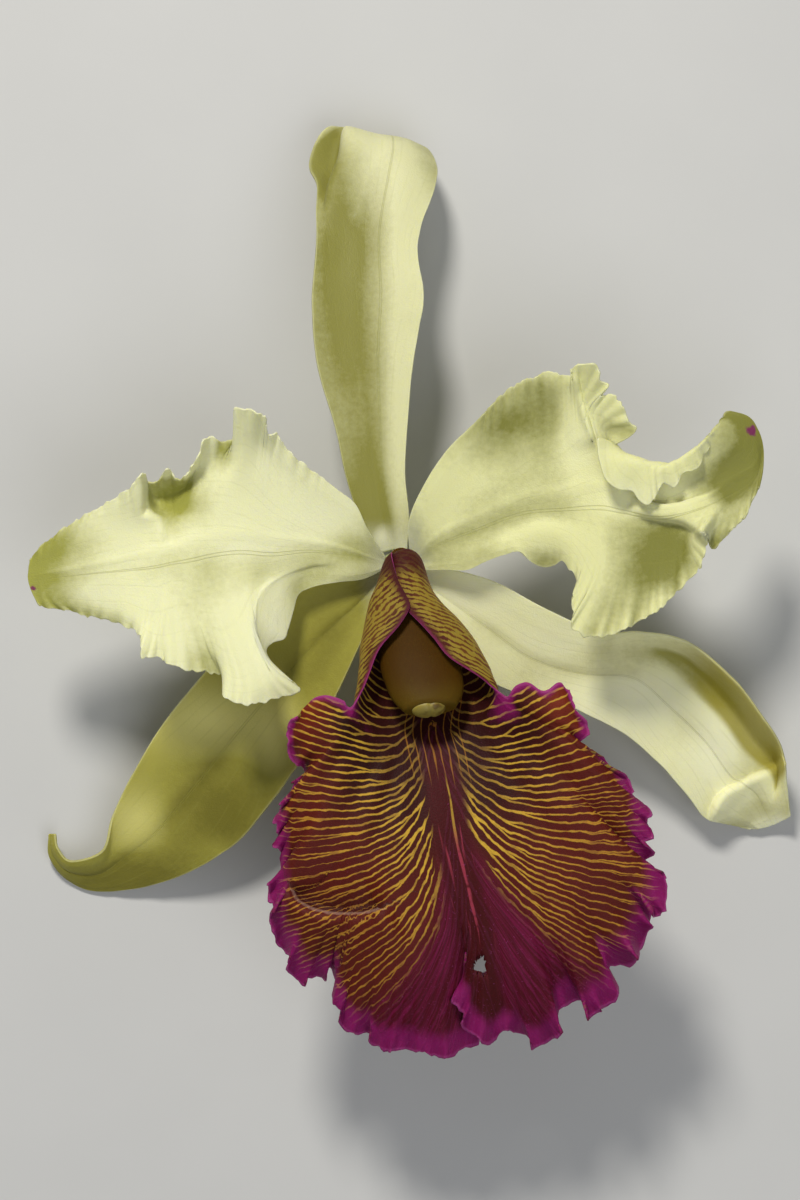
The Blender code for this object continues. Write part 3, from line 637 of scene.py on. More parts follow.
sepalTop = dict(sepalWhole, width=20.0, paintedLightAndShade=[
    (-12, 68, 4, 16, 0.6), (-3, 85, 7, 9, -0.22), (-15, 88, 4, 6, 0.9), (-7, 12, 4, 8, 0.4),
    (-4, 12.5, 2, 2.5, -0.8), (5, 88, 5, 6, 0.15),
], folds=[
    {"along": (0.58, 0.68, 0.80, 0.93), "at": 0.12, "width": 0.085, "push": (2.6, -0.6), "depth": 3.4,
     "rim": 1.0},
], lines={
    0.0: [(-5.2, 9.0, 26.6), (-8.4, 17, 27), (-11, 25.4, 27.4), (-13, 35, 27.6), (-16.6, 47.2, 27.2),
          (-17.6, 60, 26), (-16.8, 72, 23.6), (-16.8, 82, 17.5), (-18.6, 87, 11.5), (-16.4, 93, 8.5),
          (-13, 94.4, 5.5), (-9.6, 89, 2)],
    0.25: [(-3.5, 9.5, 25.6), (-6.4, 17, 26.4), (-8.6, 25.6, 26.8), (-10, 36, 26.8), (-12.4, 48, 26),
           (-12.8, 60.6, 24.6), (-12.4, 72.6, 22.2), (-14, 82.4, 20.5), (-11.6, 89.6, 16.6), (-11, 94, 12),
           (-9.6, 93.6, 6), (-8, 89, 1.2)],
    0.5: [(-1.8, 10, 25.3), (-3.6, 17, 26.1), (-5.2, 26, 26.4), (-6, 36.6, 26.4), (-7, 48.6, 25.6),
          (-6.8, 61, 24.2), (-6.8, 73, 21.6), (-5.6, 84, 18.5), (-4.4, 90.4, 14.8), (-4.4, 92.8, 9.6),
          (-5.6, 91.4, 4.2), (-6.4, 88.8, 0.6)],
    0.75: [(-0.2, 10.2, 25.8), (-0.8, 17.2, 26.8), (-1.8, 26, 27), (-1.8, 36.4, 26.8), (-1.6, 48.4, 26),
           (-0.6, 61, 24.6), (-1.4, 72.6, 21.5), (0.8, 84, 18), (1.6, 89.6, 13.6), (0.6, 92, 8.4),
           (-1.4, 90.6, 3.4), (-4.4, 88.4, 1)],
    1.0: [(1.4, 10, 26.4), (1.8, 16.6, 27.6), (1, 25.6, 27.8), (1.6, 36, 27.6), (2.8, 48, 26.8),
          (4.8, 60.8, 25.2), (3.6, 71.4, 22), (6.8, 82.4, 16.5), (7.2, 87, 11.5), (5, 90.4, 7.2),
          (2, 89.6, 3.2), (-2.4, 87.8, 1.8)],
})

sepalLowLeft = dict(sepalWhole, width=24.0, paintedLightAndShade=[
    (-38, -24, 11, 6, -0.8), (-25, -27, 4.5, 9, -0.7), (-53, -44, 6, 6, -0.6), (-32, -43, 10, 8, 0.9),
    (-52, -55, 10, 4, 0.6), (-14, -10, 5, 8, 0.4),
], lines={
    0.0: [(-3.6, 6.2, 26), (-10, 5.6, 26.5), (-20, 3, 25.5), (-31, -5.4, 22.8), (-41, -16.8, 19),
          (-48.6, -26.4, 15.5), (-53.8, -35.6, 12.5), (-57.4, -43, 10), (-59.4, -50, 8), (-65.6, -52.2, 5.6),
          (-68.4, -49.8, 5.2), (-69, -46.8, 5.4)],
    0.25: [(-3.4, 5.6, 25.7), (-9.6, 1.6, 25.2), (-18.4, -4, 23.6), (-28.6, -13, 20.8), (-38, -22.4, 17),
           (-45.6, -32, 13.4), (-51.8, -41, 10), (-56.8, -47.2, 7.4), (-60, -52.4, 5.4), (-66, -53.2, 4.2),
           (-68.8, -50.2, 4.2), (-69.2, -46.8, 4.8)],
    0.5: [(-3, 5, 25.6), (-8.8, -1, 24.6), (-16.8, -8.4, 22.8), (-25.6, -18.4, 19.8), (-34, -28.4, 15.8),
          (-41.6, -38, 12), (-48.8, -46.4, 8.4), (-55.2, -51.4, 5.4), (-60.4, -54.6, 3.4), (-66.2, -54, 3),
          (-69.2, -50.6, 3.4), (-69.6, -46.8, 4.2)],
    0.75: [(-2.5, 4.5, 25.7), (-8, -4, 24.6), (-14.8, -13, 22.6), (-22, -24.4, 19.6), (-29.6, -34, 15.8),
           (-37.4, -43.6, 11.4), (-45.2, -51, 7.2), (-53.4, -54.8, 3.8), (-60.4, -56.6, 1.8),
           (-66.4, -55, 1.8), (-69.6, -51, 2.8), (-69.9, -46.8, 3.8)],
    1.0: [(-1.9, 4.1, 26), (-7.2, -7.2, 25.4), (-12.4, -18.4, 23.8), (-18.2, -29.6, 20.8),
          (-25, -39.6, 16.8), (-32.4, -48.4, 11.8), (-42, -54.2, 6.8), (-51.4, -57.4, 2.8),
          (-60.6, -58.2, 0.8), (-66.6, -55.8, 0.9), (-70, -51.4, 2.4), (-70.2, -46.8, 3.4)],
})

sepalLowRight = dict(sepalWhole, width=24.0, paintedLightAndShade=[
    (13, 2, 10, 5, -0.8), (30, -8, 10, 5, -0.45), (46, -20, 13, 7, -0.95), (63, -31, 6, 9, -0.8),
    (72, -26, 3, 4, -0.5), (76, -45, 6, 2.5, -0.9), (50, -11, 9, 3.5, 0.8), (64, -16.5, 6, 5, 0.8),
], folds=[
    {"along": (0.40, 0.55, 0.84, 0.92), "at": 0.20, "width": 0.11, "push": (0.6, 0.7), "depth": 3.0,
     "rim": 1.4},
], creases=[
    {"line": [(84.0, -27.5), (76.4, -33.0), (69.6, -36.4), (64.0, -40.0), (61.6, -48.0)], "height": 2.6,
     "soft": 11.0, "sharp": 0.8},
], lines={
    0.0: [(2.8, 6.2, 26), (10, 6, 27), (19.4, 3.4, 26), (29.4, -2, 24), (40, -6.4, 22), (48, -6.4, 22.5),
          (58, -8.6, 21.5), (67, -16.4, 18.5), (73, -24, 14.5), (76.2, -29.6, 10.5), (77.2, -37.4, 7),
          (78, -43.2, 4.2)],
    0.25: [(2.6, 5.6, 25.7), (9.2, 3.6, 25.4), (18.4, -0.8, 24), (28, -6.8, 22), (38.4, -10.4, 19.6),
           (48, -10.4, 19.4), (56.4, -14.6, 17.4), (64.4, -22.4, 14), (69.8, -30, 10.2), (74.2, -34.2, 7.2),
           (75.2, -39.6, 4.6), (76.4, -44, 2.6)],
    0.5: [(2.2, 5, 25.6), (8.2, 1, 24.8), (17, -5.2, 23), (26.2, -11.6, 20.8), (36.4, -14.6, 18.2),
          (46.6, -15.4, 16.4), (53.8, -21.2, 13.6), (61.2, -28.4, 10.6), (66.2, -35.2, 7.6), (70.6, -38, 4.6),
          (72.8, -41.6, 2.8), (74.6, -44.8, 1.4)],
    0.75: [(1.7, 4.5, 25.7), (7.4, -1.6, 24.8), (15.6, -9.6, 23), (24.6, -15.6, 20.6), (34.8, -18.2, 18),
           (45.2, -20.6, 15.8), (52, -27, 13.2), (59, -33.6, 10.2), (63.2, -39.4, 7.2), (67.2, -41.2, 3.6),
           (70.2, -43.4, 1.6), (72.6, -45.4, 0.8)],
    1.0: [(1.1, 4.1, 26), (6, -4.4, 25.6), (14, -13.6, 23.8), (23.2, -18.6, 21), (33.4, -21.2, 18.4),
          (44, -26.4, 16), (50.4, -31.4, 13.8), (57.2, -38.6, 10.8), (60.8, -43.4, 7.8), (63.8, -44.4, 3.4),
          (67.4, -45.2, 0.9), (70.6, -45.8, 0.7)],
})


def makeTepals():
    for name, node, leaf, slotName in (
            ("upright_sepal", "dorsal_sepal", sepalTop, "sepal"),
            ("lower_left_sepal", "lateral_sepal_left", sepalLowLeft, "sepal"),
            ("lower_right_sepal", "lateral_sepal_right", sepalLowRight, "sepal"),
            ("left_petal", "petal_left", petalLeft, "petal"),
            ("right_petal", "petal_right", petalRight, "petal")):
        makeTepal(name, node, leaf, [tepalMaterial(name)])


columnShape = {
    "foot": (0.4, 6.8, 32), "tip": (4.8, -22.4, 52), "sides": 40, "rings": 60, "keel": 0.05,
    "lean": 1.3, "leans": (0.4, 1.0),      # mm that the tip leans to the right, from where to where along it
    # place along the axis, half width, half depth
    "profile": [(-0.09, 1.8, 1.8), (0, 2.1, 2.1), (0.25, 4.7, 2.9), (0.5, 7.0, 3.4), (0.78, 7.7, 3.6),
                (0.92, 6.6, 3.2), (0.98, 5.2, 2.6)],
    # the cap's place ahead of the tip and to its side, its half sizes, and its groove's place, width and
    # depth
    "capAhead": 0.2, "capAside": -0.3, "cap": (3.3, 2.3, 1.3), "groove": (0.1, 0.13, 0.16),
}

lipShape = {
    "cuts": (94, 510), "thickness": 0.8, "edgeShare": 0.4, "mouthSlant": 0.08, "sideSwell": 2.0,
    "frontSwell": 6.0,
    "lapReach": 0.11,
    # share of the way out, place along the column, half width, shift, height, depth, left and right margin
    # angles, and how far the left margin lies over the right one
    "tube": [(0, -0.05, 2.5, 0.2, 2.5, 2.6, 40, -50, 0.3), (0.03, -0.03, 3.1, 0.2, 3.9, 3.6, 37, -47, 0.4),
             (0.06, 0, 3.6, 0.2, 4.7, 4.4, 34, -42, 0.5), (0.14, 0.16, 5.1, -0.5, 5.4, 5.6, 15, -28, 0.5),
             (0.19, 0.25, 6.3, -0.9, 5.7, 6.3, 6, -19, 0.5), (0.245, 0.36, 7.9, -0.5, 5.9, 7.1, 1, -11, 0.5),
             (0.29, 0.45, 9.4, 0.1, 6, 7.7, 2, -6, 0.4), (0.33, 0.56, 10.9, 0.5, 6, 8.3, 17, 4, 0.1),
             (0.38, 0.68, 11.9, 0.9, 5.8, 9, 42, 13, 0), (0.43, 0.82, 13, 1.05, 5.2, 9.6, 55, 24, 0),
             (0.465, 0.92, 13.8, 0.9, 4.7, 9.85, 62, 46, 0), (0.5, 1, 14.4, 0.7, 4.2, 10, 79, 72, 0)],
    "coarse": [(-18.2, -22.8, 50), (-22, -29.6, 49), (-20.4, -36.8, 47), (-24.2, -42.4, 47), (-25, -50, 44),
               (-24.8, -57.2, 44.5), (-25.6, -65, 43), (-22.4, -73.2, 40), (-16.4, -76.4, 41.5),
               (-12.8, -83, 39.5), (-6, -88, 41), (3, -90.4, 39.5), (11.4, -90.4, 41), (20.2, -87.6, 39.5),
               (29, -88.4, 41), (35.6, -82, 39.5), (42, -78.8, 41), (46, -72.4, 41), (49.6, -65, 43.5),
               (52.8, -58, 43.5), (49.6, -50.4, 44.5), (50, -42.4, 47.5), (44, -34.4, 48), (37.2, -27, 51),
               (33.8, -18, 52)],
    # the frilled margin from the left corner round the front to the right corner
    "frill": [(-18.2, -23, 50), (-21.6, -23.8, 51), (-22.4, -28.2, 49), (-21.8, -31.6, 47.6),
              (-18.8, -35.2, 46), (-19.2, -36.2, 46), (-21.6, -36.4, 48), (-21.8, -38.4, 48),
              (-24, -40.8, 48.4), (-24.2, -42.4, 47.6), (-25, -43.2, 46.6), (-24.6, -45.6, 46),
              (-24.4, -48.2, 45.4), (-25.6, -49.2, 46.4), (-24, -50.2, 46), (-24.2, -51.8, 44.4),
              (-23.2, -56.4, 42), (-26.6, -57, 45.6), (-26.2, -59.2, 46.4), (-25, -61.2, 45.4),
              (-26, -64.4, 44), (-25, -66.2, 42.6), (-24.2, -69.2, 42), (-22.4, -70.6, 42.6),
              (-22.2, -73.8, 41.8), (-19.2, -76.8, 40.6), (-18.4, -75.2, 39.6), (-15.6, -75.6, 38.8),
              (-13.4, -73.6, 38.4), (-13, -75.2, 39.6), (-11.6, -77.4, 40.4), (-13.6, -78.6, 41.6),
              (-13.6, -80.8, 41.4), (-11.6, -83, 40.4), (-11.8, -84.4, 40), (-9, -87, 39.4),
              (-6.2, -86.4, 38.6), (-5.8, -88.4, 39), (-2.4, -90, 40), (1, -90, 40.6), (6.6, -91.2, 40),
              (11.4, -90.6, 39), (14, -89.2, 38), (16, -87.4, 37), (16.8, -80, 36.4), (16.6, -73.4, 38),
              (13.6, -74.4, 42.4), (10.6, -77.4, 44), (10, -80, 44.6), (12.4, -82, 44.4), (12.6, -85.2, 44),
              (15.6, -88, 43.4), (17.2, -88.8, 42), (20.2, -86.4, 41), (24.6, -87.2, 40),
              (26.6, -89.4, 39.4), (30.2, -88.2, 40), (32.6, -86.2, 41), (31.6, -83.2, 40.4),
              (32.6, -81.4, 39.6), (35.8, -80.2, 40), (37.8, -83.6, 41.4), (40.8, -81.2, 42),
              (42.8, -80.6, 41), (43.4, -77.2, 40), (41.2, -73.8, 39.6), (42.2, -72.6, 40.6),
              (45.4, -73.8, 42.4), (47.8, -71.8, 43), (48.8, -68.6, 42), (50.8, -64.6, 43),
              (49.8, -62.2, 45), (52.4, -63, 46.6), (53.6, -59, 47), (53, -55, 46), (50, -56, 43),
              (47.8, -56.2, 42), (46.6, -51.6, 43), (49.2, -52, 45.4), (50.8, -51, 47), (48.8, -49, 47.4),
              (50.6, -47, 48), (49.4, -44.8, 47), (50, -42, 48), (47.2, -39.8, 48.4), (45.2, -35.2, 48),
              (42, -33.6, 49), (41.4, -32, 49.4), (37.8, -30.8, 49.6), (36.4, -29.8, 50), (37.6, -27.4, 51),
              (36.6, -23.2, 52), (34.8, -21, 52.4), (33.8, -18, 52)],
    "pins": {0: 0.0, 9: 0.125, 20: 0.25, 25: 0.317, 33: 0.375, 41: 0.485, 44: 0.507, 46: 0.525, 48: 0.54,
             53: 0.57, 57: 0.61, 62: 0.658, 67: 0.704, 73: 0.79, 83: 0.875, 93: 1.0},
    # wavelength, height, reach inwards, seed, and start and end along the margin, of each size of ruffle
    "ruffles": [(13.0, 1.2, 6.5, 5, 0, 1), (6.2, 1.6, 3.8, 25, 0, 1), (2.7, 0.75, 1.8, 45, 0, 1),
                (5.5, 1.1, 5.0, 85, 0.19, 0.25), (7.4, 1.2, 5.0, 95, 0.66, 0.78),
                (3.0, 0.35, 14.0, 65, 0.34, 0.64)],
    "calm": [(0.095, 0.025), (0.915, 0.025)],      # where the margin turns a corner, and how far
    # how far the ruffles' wavelength and height wander, and their share sideways
    "wander": (2.0, 1.3), "uneven": (0.75, 0.5, 2.1), "sideways": 0.4, "calmShare": 0.65,
    # where the ruffles start and are full: from the left end, from the right end, and outwards
    "grow": ((-0.02, 0.10), (1.02, 0.90), (0.15, 0.5)),
    # wavelength, depth and seed of the teeth
    "teeth": [(1.6, 0.55, 7), (0.7, 0.3, 8)], "toothReach": 0.7,
    # how the frill's shifts fade inwards: broad ones, small ones in plan, small ones in height
    "frillSteps": 1201, "blur": (150, 45), "fade": (2.5, 7, 5),
    "lobeParts": (0.25, 0.5, 0.75), "marginRows": 1.3, "thins": 4,
    # place, half sizes, and how far it is from round
    "hole": (16.0, -73.2, 1.15, 1.4, 0.22),
    "creases": [
        {"line": [(-1.5, -60.6), (-6.0, -62.6), (-14.0, -62.8), (-20.2, -60.6), (-22.4, -56.4)],
         "height": 2.4,
         "soft": 8.0, "sharp": 0.5, "to": 0.5},
        {"line": [(-22.4, -56.4), (-20.2, -60.6), (-14.0, -62.8), (-6.0, -62.6), (-1.5, -60.6)],
         "height": -1.6,
         "soft": 7.0, "sharp": 0.4, "to": 0.5},
    ],
    # the margin band's width in mm at places along the margin
    "band": [(0, 1.0), (0.04, 2.0), (0.1, 3.0), (0.17, 5.0), (0.24, 7.5), (0.33, 7.5), (0.42, 5.5),
             (0.6, 5.5), (0.7, 7.5), (0.78, 7.0), (0.84, 6.0), (0.9, 5.0), (0.96, 2.4), (1, 1.0)],
    # the free edges that run on from the tube's two margins, their scale at their height, and their reach
    # inwards
    "edgeScale": 0.975, "edgeReach": 0.035,
    "leftEdge": [(-9.6, -19.4), (-10.8, -20.2), (-12.6, -19.6), (-14.8, -19.2), (-17.2, -20.2), (-18.2, -23)],
    "rightEdge": [(18.8, -18.4), (21.6, -17.8), (25.2, -16.4), (28, -18), (29.6, -17.8), (31.8, -16.4),
                  (33.8, -18)],
}


def columnFrame():
    foot, tip = alongSight([columnShape["foot"], columnShape["tip"]])
    axis = tip - foot
    ahead = axis / np.linalg.norm(axis)
    side = np.array([1.0, 0, 0]) - ahead[0] * ahead
    side /= np.linalg.norm(side)
    up = np.cross(side, ahead)
    return foot, axis, ahead, side, up if up[2] > 0 else -up


def tubePoints(row, v):
    foot, axis, _, side, up = columnFrame()
    _, place, width, shift, height, depth, left, right, lap = row
    turn = np.radians(left + (360 - left - right) * v)
    rise = np.cos(turn)
    lift = lap * (np.exp(-v / lipShape["lapReach"]) - np.exp(-(1 - v) / lipShape["lapReach"]))
    reach = place * (1 - lipShape["mouthSlant"] * np.abs(2 * v - 1) ** 3)
    return (foot + reach[:, None] * axis + side * (shift - (width + lift) * np.sin(turn))[:, None]
            + up * ((np.where(rise > 0, height, depth) + lift) * rise)[:, None])


def lipSheet(u, v):
    # The tube, and the lobe that spreads from its mouth to the margin
    shape = lipShape
    stations = [tubePoints(row, v) for row in shape["tube"]]
    mouth = stations[-1]
    margin = evenCurve(alongSight(shape["coarse"]), v)
    swell = shape["sideSwell"] + shape["frontSwell"] * np.sin(np.pi * v) ** 2
    for part in shape["lobeParts"]:
        lift = np.zeros_like(mouth)
        lift[:, 2] = swell * 4 * part * (1 - part)
        stations.append(mouth + (margin - mouth) * part + lift)
    stations.append(margin)
    places = [row[0] for row in shape["tube"]] + [0.5 + part / 2 for part in (*shape["lobeParts"], 1)]
    weights = weightsAt(places, u)
    outwards = margin - mouth
    outwards[:, 2] = 0
    outwards /= np.linalg.norm(outwards, axis=1)[:, None] + 1e-9
    return sum(weights[:, k:k + 1] * station for k, station in enumerate(stations)), outwards


def frillAt(v):
    # The frilled margin, with each of its points given a place along the margin by the pinned ones
    frill = np.asarray(lipShape["frill"], float)
    length = arcAlong(frill)
    pins = lipShape["pins"]
    at = sorted(pins)
    stations = np.interp(length, length[at], [pins[k] for k in at])
    return curveThrough(stations, alongSight(frill), v), stations, length


def addFrill(points, v, out):
    # The frill's broad shifts spread inwards, and its small ones stay close to the margin
    shape = lipShape
    places = np.linspace(0, 1, shape["frillSteps"])
    frill, stations, lengths = frillAt(places)
    shift = frill - evenCurve(alongSight(shape["coarse"]), places)
    reach, width = shape["blur"]
    window = np.exp(-(np.arange(-reach, reach + 1) / width) ** 2)
    padded = np.pad(shift, ((reach, reach), (0, 0)), mode="edge")
    broadFade, planFade, heightFade = shape["fade"]
    for k, fade in enumerate((planFade, planFade, heightFade)):
        broad = np.convolve(padded[:, k], window / window.sum(), mode="valid")
        points[:, k] += np.interp(v, places, broad) * out**broadFade
        points[:, k] += np.interp(v, places, shift[:, k] - broad) * out**fade
    return np.interp(v, stations, lengths)


def bendEdges(points, v, out):
    # Draws the lobe's first stretch on each side onto the free edges that the photo shows
    shape = lipShape
    corners = tubePoints(shape["tube"][-1], np.array([0.0, 1.0]))
    for edge, end in (("leftEdge", 0), ("rightEdge", 1)):
        line = np.asarray(shape[edge], float)
        start = corners[end, :2]
        straight = start + (line[-1] * shape["edgeScale"] - start) * out[:, None]
        share = bell(v, end, shape["edgeReach"]) * smooth(0, 0.1, out) * smooth(1.02, 0.85, out)
        points[:, :2] += (evenCurve(line, out) * shape["edgeScale"] - straight) * share[:, None]


def addRuffles(points, v, out, arc, toMargin, outwards):
    # Ruffles that grow towards the margin, and small teeth on it
    shape = lipShape
    fromLeft, fromRight, outward = shape["grow"]
    strength = smooth(*fromLeft, v) * smooth(*fromRight, v) * smooth(*outward, out)
    for place, reach in shape["calm"]:
        strength *= 1 - shape["calmShare"] * bell(v, place, reach)
    fine = np.linspace(0, 1, 400)
    heading = np.gradient(evenCurve(shape["coarse"], fine), axis=0)
    heading /= np.linalg.norm(heading, axis=1)[:, None]
    sideways = np.stack([np.interp(v, fine, heading[:, k]) for k in range(3)], axis=1)
    wander, wanderLength = shape["wander"]
    least, more, unevenLength = shape["uneven"]
    for wavelength, amount, depth, seed, first, last in shape["ruffles"]:
        phase = 2 * np.pi * arc / wavelength + wander * wavering(arc, wavelength * wanderLength, seed)
        uneven = least + more * wavering(arc, wavelength * unevenLength, seed + 1)
        size = amount * uneven * strength * np.exp(-(toMargin / depth) ** 2)
        if first > 0:
            size = size * smooth(first - 0.03, first + 0.01, v) * smooth(last + 0.03, last - 0.01, v)
        points[:, 2] += np.sin(phase) * size
        points += sideways * (np.cos(phase) * size * shape["sideways"])[:, None]
    teeth = sum(wavering(arc, wavelength, seed) * depth for wavelength, depth, seed in shape["teeth"])
    points += outwards * (teeth * smooth(0.2, 0.8, out) * np.exp(-toMargin / shape["toothReach"]))[:, None]


def lipPoints(u, v, rows):
    points, outwards = lipSheet(u, v)
    out = np.clip((u - 0.5) * 2, 0, 1)      # 0 at the tube's mouth, 1 at the margin
    arc = addFrill(points, v, out)
    bendEdges(points, v, out)
    addCreases(points, v, lipShape["creases"])
    grid = points[rows]
    toMargin = walked(grid[::-1], 0)[::-1]
    toSides = np.minimum(walked(grid, 1), walked(grid[:, ::-1], 1)[:, ::-1])
    fromEdge = byPoint(rows, np.minimum(toMargin, toSides))
    addRuffles(points, v, out, arc, byPoint(rows, toMargin), outwards)
    return points, out, fromEdge


# The middle line that the veins part from, in mm, and how they leave it and bend towards the margin
lipFlow = {
    "midline": [(40, 0.4), (7, 0.4), (-8, 2.5), (-22, 4.8), (-30, 7.5), (-50, 11), (-66, 15), (-95, 19)],
    "mouth": -24.0, "carry": 20.0, "bend": 6.0, "topSlope": 0.1, "fan": 0.043, "turnsAt": (0.30, 0.60),
    "leastSlope": 1e-4, "spread": (0.1, 4),
}


def lipFlowMarks(points, u, rows):
    # Numbers that the veins follow: flowAcross is the same all along one vein, and flowAlong is its length
    # so far, in mm
    flow = lipFlow
    seen = seenFromAbove(points)
    midline = np.asarray(flow["midline"], float)[::-1]
    aside = seen[:, 0] - np.interp(seen[:, 1], midline[:, 0], midline[:, 1])
    ahead = flow["mouth"] - seen[:, 1]
    grid = points[rows]
    walk = walked(grid, 1)
    middle = rows.shape[1] // 2
    around = byPoint(rows, walk - walk[:, middle:middle + 1])
    axis = columnFrame()[1]
    tube = np.asarray(lipShape["tube"], float)
    back = (np.interp(np.clip(u, 0, 0.5), tube[:, 0], tube[:, 1]) - 1) * np.linalg.norm(axis)
    share = smooth(*flow["turnsAt"], u)
    sideways = np.abs(around) * (1 - share) + np.abs(aside) * share
    onward = back * (1 - share) + ahead * share
    carried = flow["carry"] * (1 - np.exp(-sideways / flow["bend"]))
    across = (onward - carried + flow["topSlope"] * sideways) / (1 + flow["fan"] * sideways)
    along = np.sqrt(sideways**2 + (onward - across) ** 2)
    side = np.sign(around * (1 - share) + aside * share)

    # Millimetres of real surface for each unit of flowAcross, from its slope over the grid
    field = across[rows]
    alongU, alongV = np.gradient(grid, axis=0), np.gradient(grid, axis=1)
    fieldU, fieldV = np.gradient(field, axis=0), np.gradient(field, axis=1)
    uu, vv, uv = (alongU**2).sum(2), (alongV**2).sum(2), (alongU * alongV).sum(2)
    slope = (vv * fieldU**2 - 2 * uv * fieldU * fieldV + uu * fieldV**2) / np.maximum(uu * vv - uv**2, 1e-9)
    spread = np.clip(1 / np.sqrt(np.maximum(slope, flow["leastSlope"])), *flow["spread"])
    return {"flowAcross": across, "flowAlong": along, "flowSide": side * sideways,
            "flowSpread": byPoint(rows, spread), "onward": onward}


shelfMark = {"far": 50.0, "steps": 200, "part": (25, 185), "within": 25, "pastEnd": 3}


def shelfDistance(seen, v):
    # Distance in mm from the left shelf's edge, positive below it, negative above, and far away from it
    # elsewhere
    line = evenCurve(lipShape["creases"][0]["line"], np.linspace(0, 1, shelfMark["steps"]))
    line = line[slice(*shelfMark["part"])]
    shelf = np.full(len(seen), shelfMark["far"])
    near = np.flatnonzero((np.abs(seen - line.mean(0)) < shelfMark["within"]).all(axis=1) & (v < 0.5))
    closest, apart, left = besideLine(seen[near], line)
    beyond = np.minimum(closest, len(line) - 1 - closest) == 0
    shelf[near] = np.where(left, 1, -1) * apart * np.where(beyond, shelfMark["pastEnd"], 1)
    return shelf


lipLook = {
    # throat is the throat's dark colour and also the painted shadow, paintedGlow is painted light,
    # shelfHighlight is a painted highlight, and paleRimAndGlints is the pale rim and the painted glints
    "throat": (0.024, 0.003, 0.002), "ground": (0.100, 0.010, 0.005), "centre": (0.052, 0.001, 0.002),
    "front": (0.075, 0.001, 0.008), "frontPale": (0.150, 0.004, 0.040), "margin": (0.215, 0.006, 0.095),
    "paleRimAndGlints": (0.42, 0.07, 0.26), "gold": (0.58, 0.36, 0.035), "goldDeep": (0.40, 0.17, 0.018),
    "streak": (0.44, 0.05, 0.09), "tan": (0.42, 0.17, 0.12), "shelfHighlight": (0.46, 0.28, 0.22),
    "outerGold": (0.27, 0.19, 0.022), "outerDark": (0.070, 0.011, 0.005), "outerTop": (0.050, 0.004, 0.006),
    "outerBrown": (0.120, 0.040, 0.008), "seam": (0.18, 0.014, 0.062), "paintedGlow": (0.210, 0.024, 0.004),
    # grains for each metre, with detail and roughness
    "fine": (420, 2), "lump": (300, 2), "clouds": (60, 3), "speckle": (1900, 2, 0.7), "ragged": (950, 2),
    "cells": 3000, "roughness": (0.48, 0.25), "bump": (0.00016, 0.5),
    # the width of a trunk's cell across the flow, and of a stripe on the back, in mm
    "cell": 3.3, "pitch": 1.4,
}
# Each fork: the least and most mm before it, how fast its arms open, and the luck above which an arm grows
# thin
lipForks = {"forks": [(4.0, 9.0, 0.12, 2.0), (10.0, 19.0, 0.08, 0.96), (20.0, 33.0, 0.05, 0.84)],
            "trunks": 0.5, "trunkExtra": 0.13, "mostHalf": 0.2, "firstReach": 0.25, "thinShare": 0.5,
            "ragged": 0.24}


def forkingVeins(paint, across, along, spread, seed, halfWidth):
    # Veins that fork again and again: in each cell across the flow a trunk parts into two arms, and each arm
    # into two more
    look, habit = lipLook, lipForks
    cell = paint.maths("FLOOR", across)
    off = across - cell - 0.5
    key = cell * 7.13 + seed      # these odd factors only keep the dice apart
    # Close to the middle only the main trunks show, and they are thicker. The rest come in where there is
    # room
    luck = paint.dice(cell * 3.71 + seed + 9.0)
    room = look["cell"] * spread
    trunk = luck.between(habit["trunks"], habit["trunks"] - 0.01)
    entered = (room - 0.9 * luck).between(0.9, 1.7)
    alive = 1.0 - (1.0 - trunk) * (1.0 - entered)
    halfWidth = halfWidth + trunk * room.between(2.6, 1.2) * habit["trunkExtra"]
    halfWidth = paint.maths("MINIMUM", halfWidth, room * habit["mostHalf"])
    reach = habit["firstReach"]
    for first, last, opening, thinning in habit["forks"]:
        fork = paint.dice(key) * (last - first) + first
        # The arms stay together until there is room for two
        parted = (paint.clamp((along - fork) * opening, 0.0, reach)
                  * (room * reach * (0.75 + 0.5 * paint.dice(key + 5.1))).between(0.40, 0.62))
        key = key + paint.maths("SIGN", off) * 31.7
        off = abs(off) - parted
        if thinning < 1:
            thinned = (paint.dice(key + 3.3).between(thinning, thinning + 0.01)
                       * (along - fork).between(4.0, 10.0))
            alive = (1.0 - thinned * habit["thinShare"]) * alive
        reach /= 2
    apart = abs(off) * look["cell"] * spread
    half = halfWidth * alive
    grain = paint.grain(*look["ragged"])
    return (apart - half + (grain - 0.5) * habit["ragged"]).between(0.11, -0.07) * half.between(0.02, 0.07)


def startLip(name, *marks):
    # A lip material with its four grains, and then the marks that it asks for
    paint = Paint(name, Subsurface_Weight=0.15, Subsurface_Scale=0.0008, Subsurface_Radius=(1.0, 0.2, 0.2),
                  Specular_IOR_Level=0.16, Sheen_Weight=0.05, Sheen_Roughness=0.4,
                  Sheen_Tint=(1.0, 0.35, 0.5, 1.0))
    grains = [paint.grain(*lipLook[key]) for key in ("fine", "lump", "clouds", "speckle")]
    return paint, *grains, *[paint.mark(mark) for mark in marks]


def finishLip(paint, colour, vein, speckle):
    # Painted glints: scattered pale dots over the whole lip
    colour = paint.mix(speckle.between(0.63, 0.75) * 0.07, colour, lipLook["paleRimAndGlints"])
    height = speckle * 0.6 + vein * 0.5 + paint.cells(lipLook["cells"]) * 0.6
    least, more = lipLook["roughness"]
    return paint.finish(colour, least + more * speckle, height, lipLook["bump"])


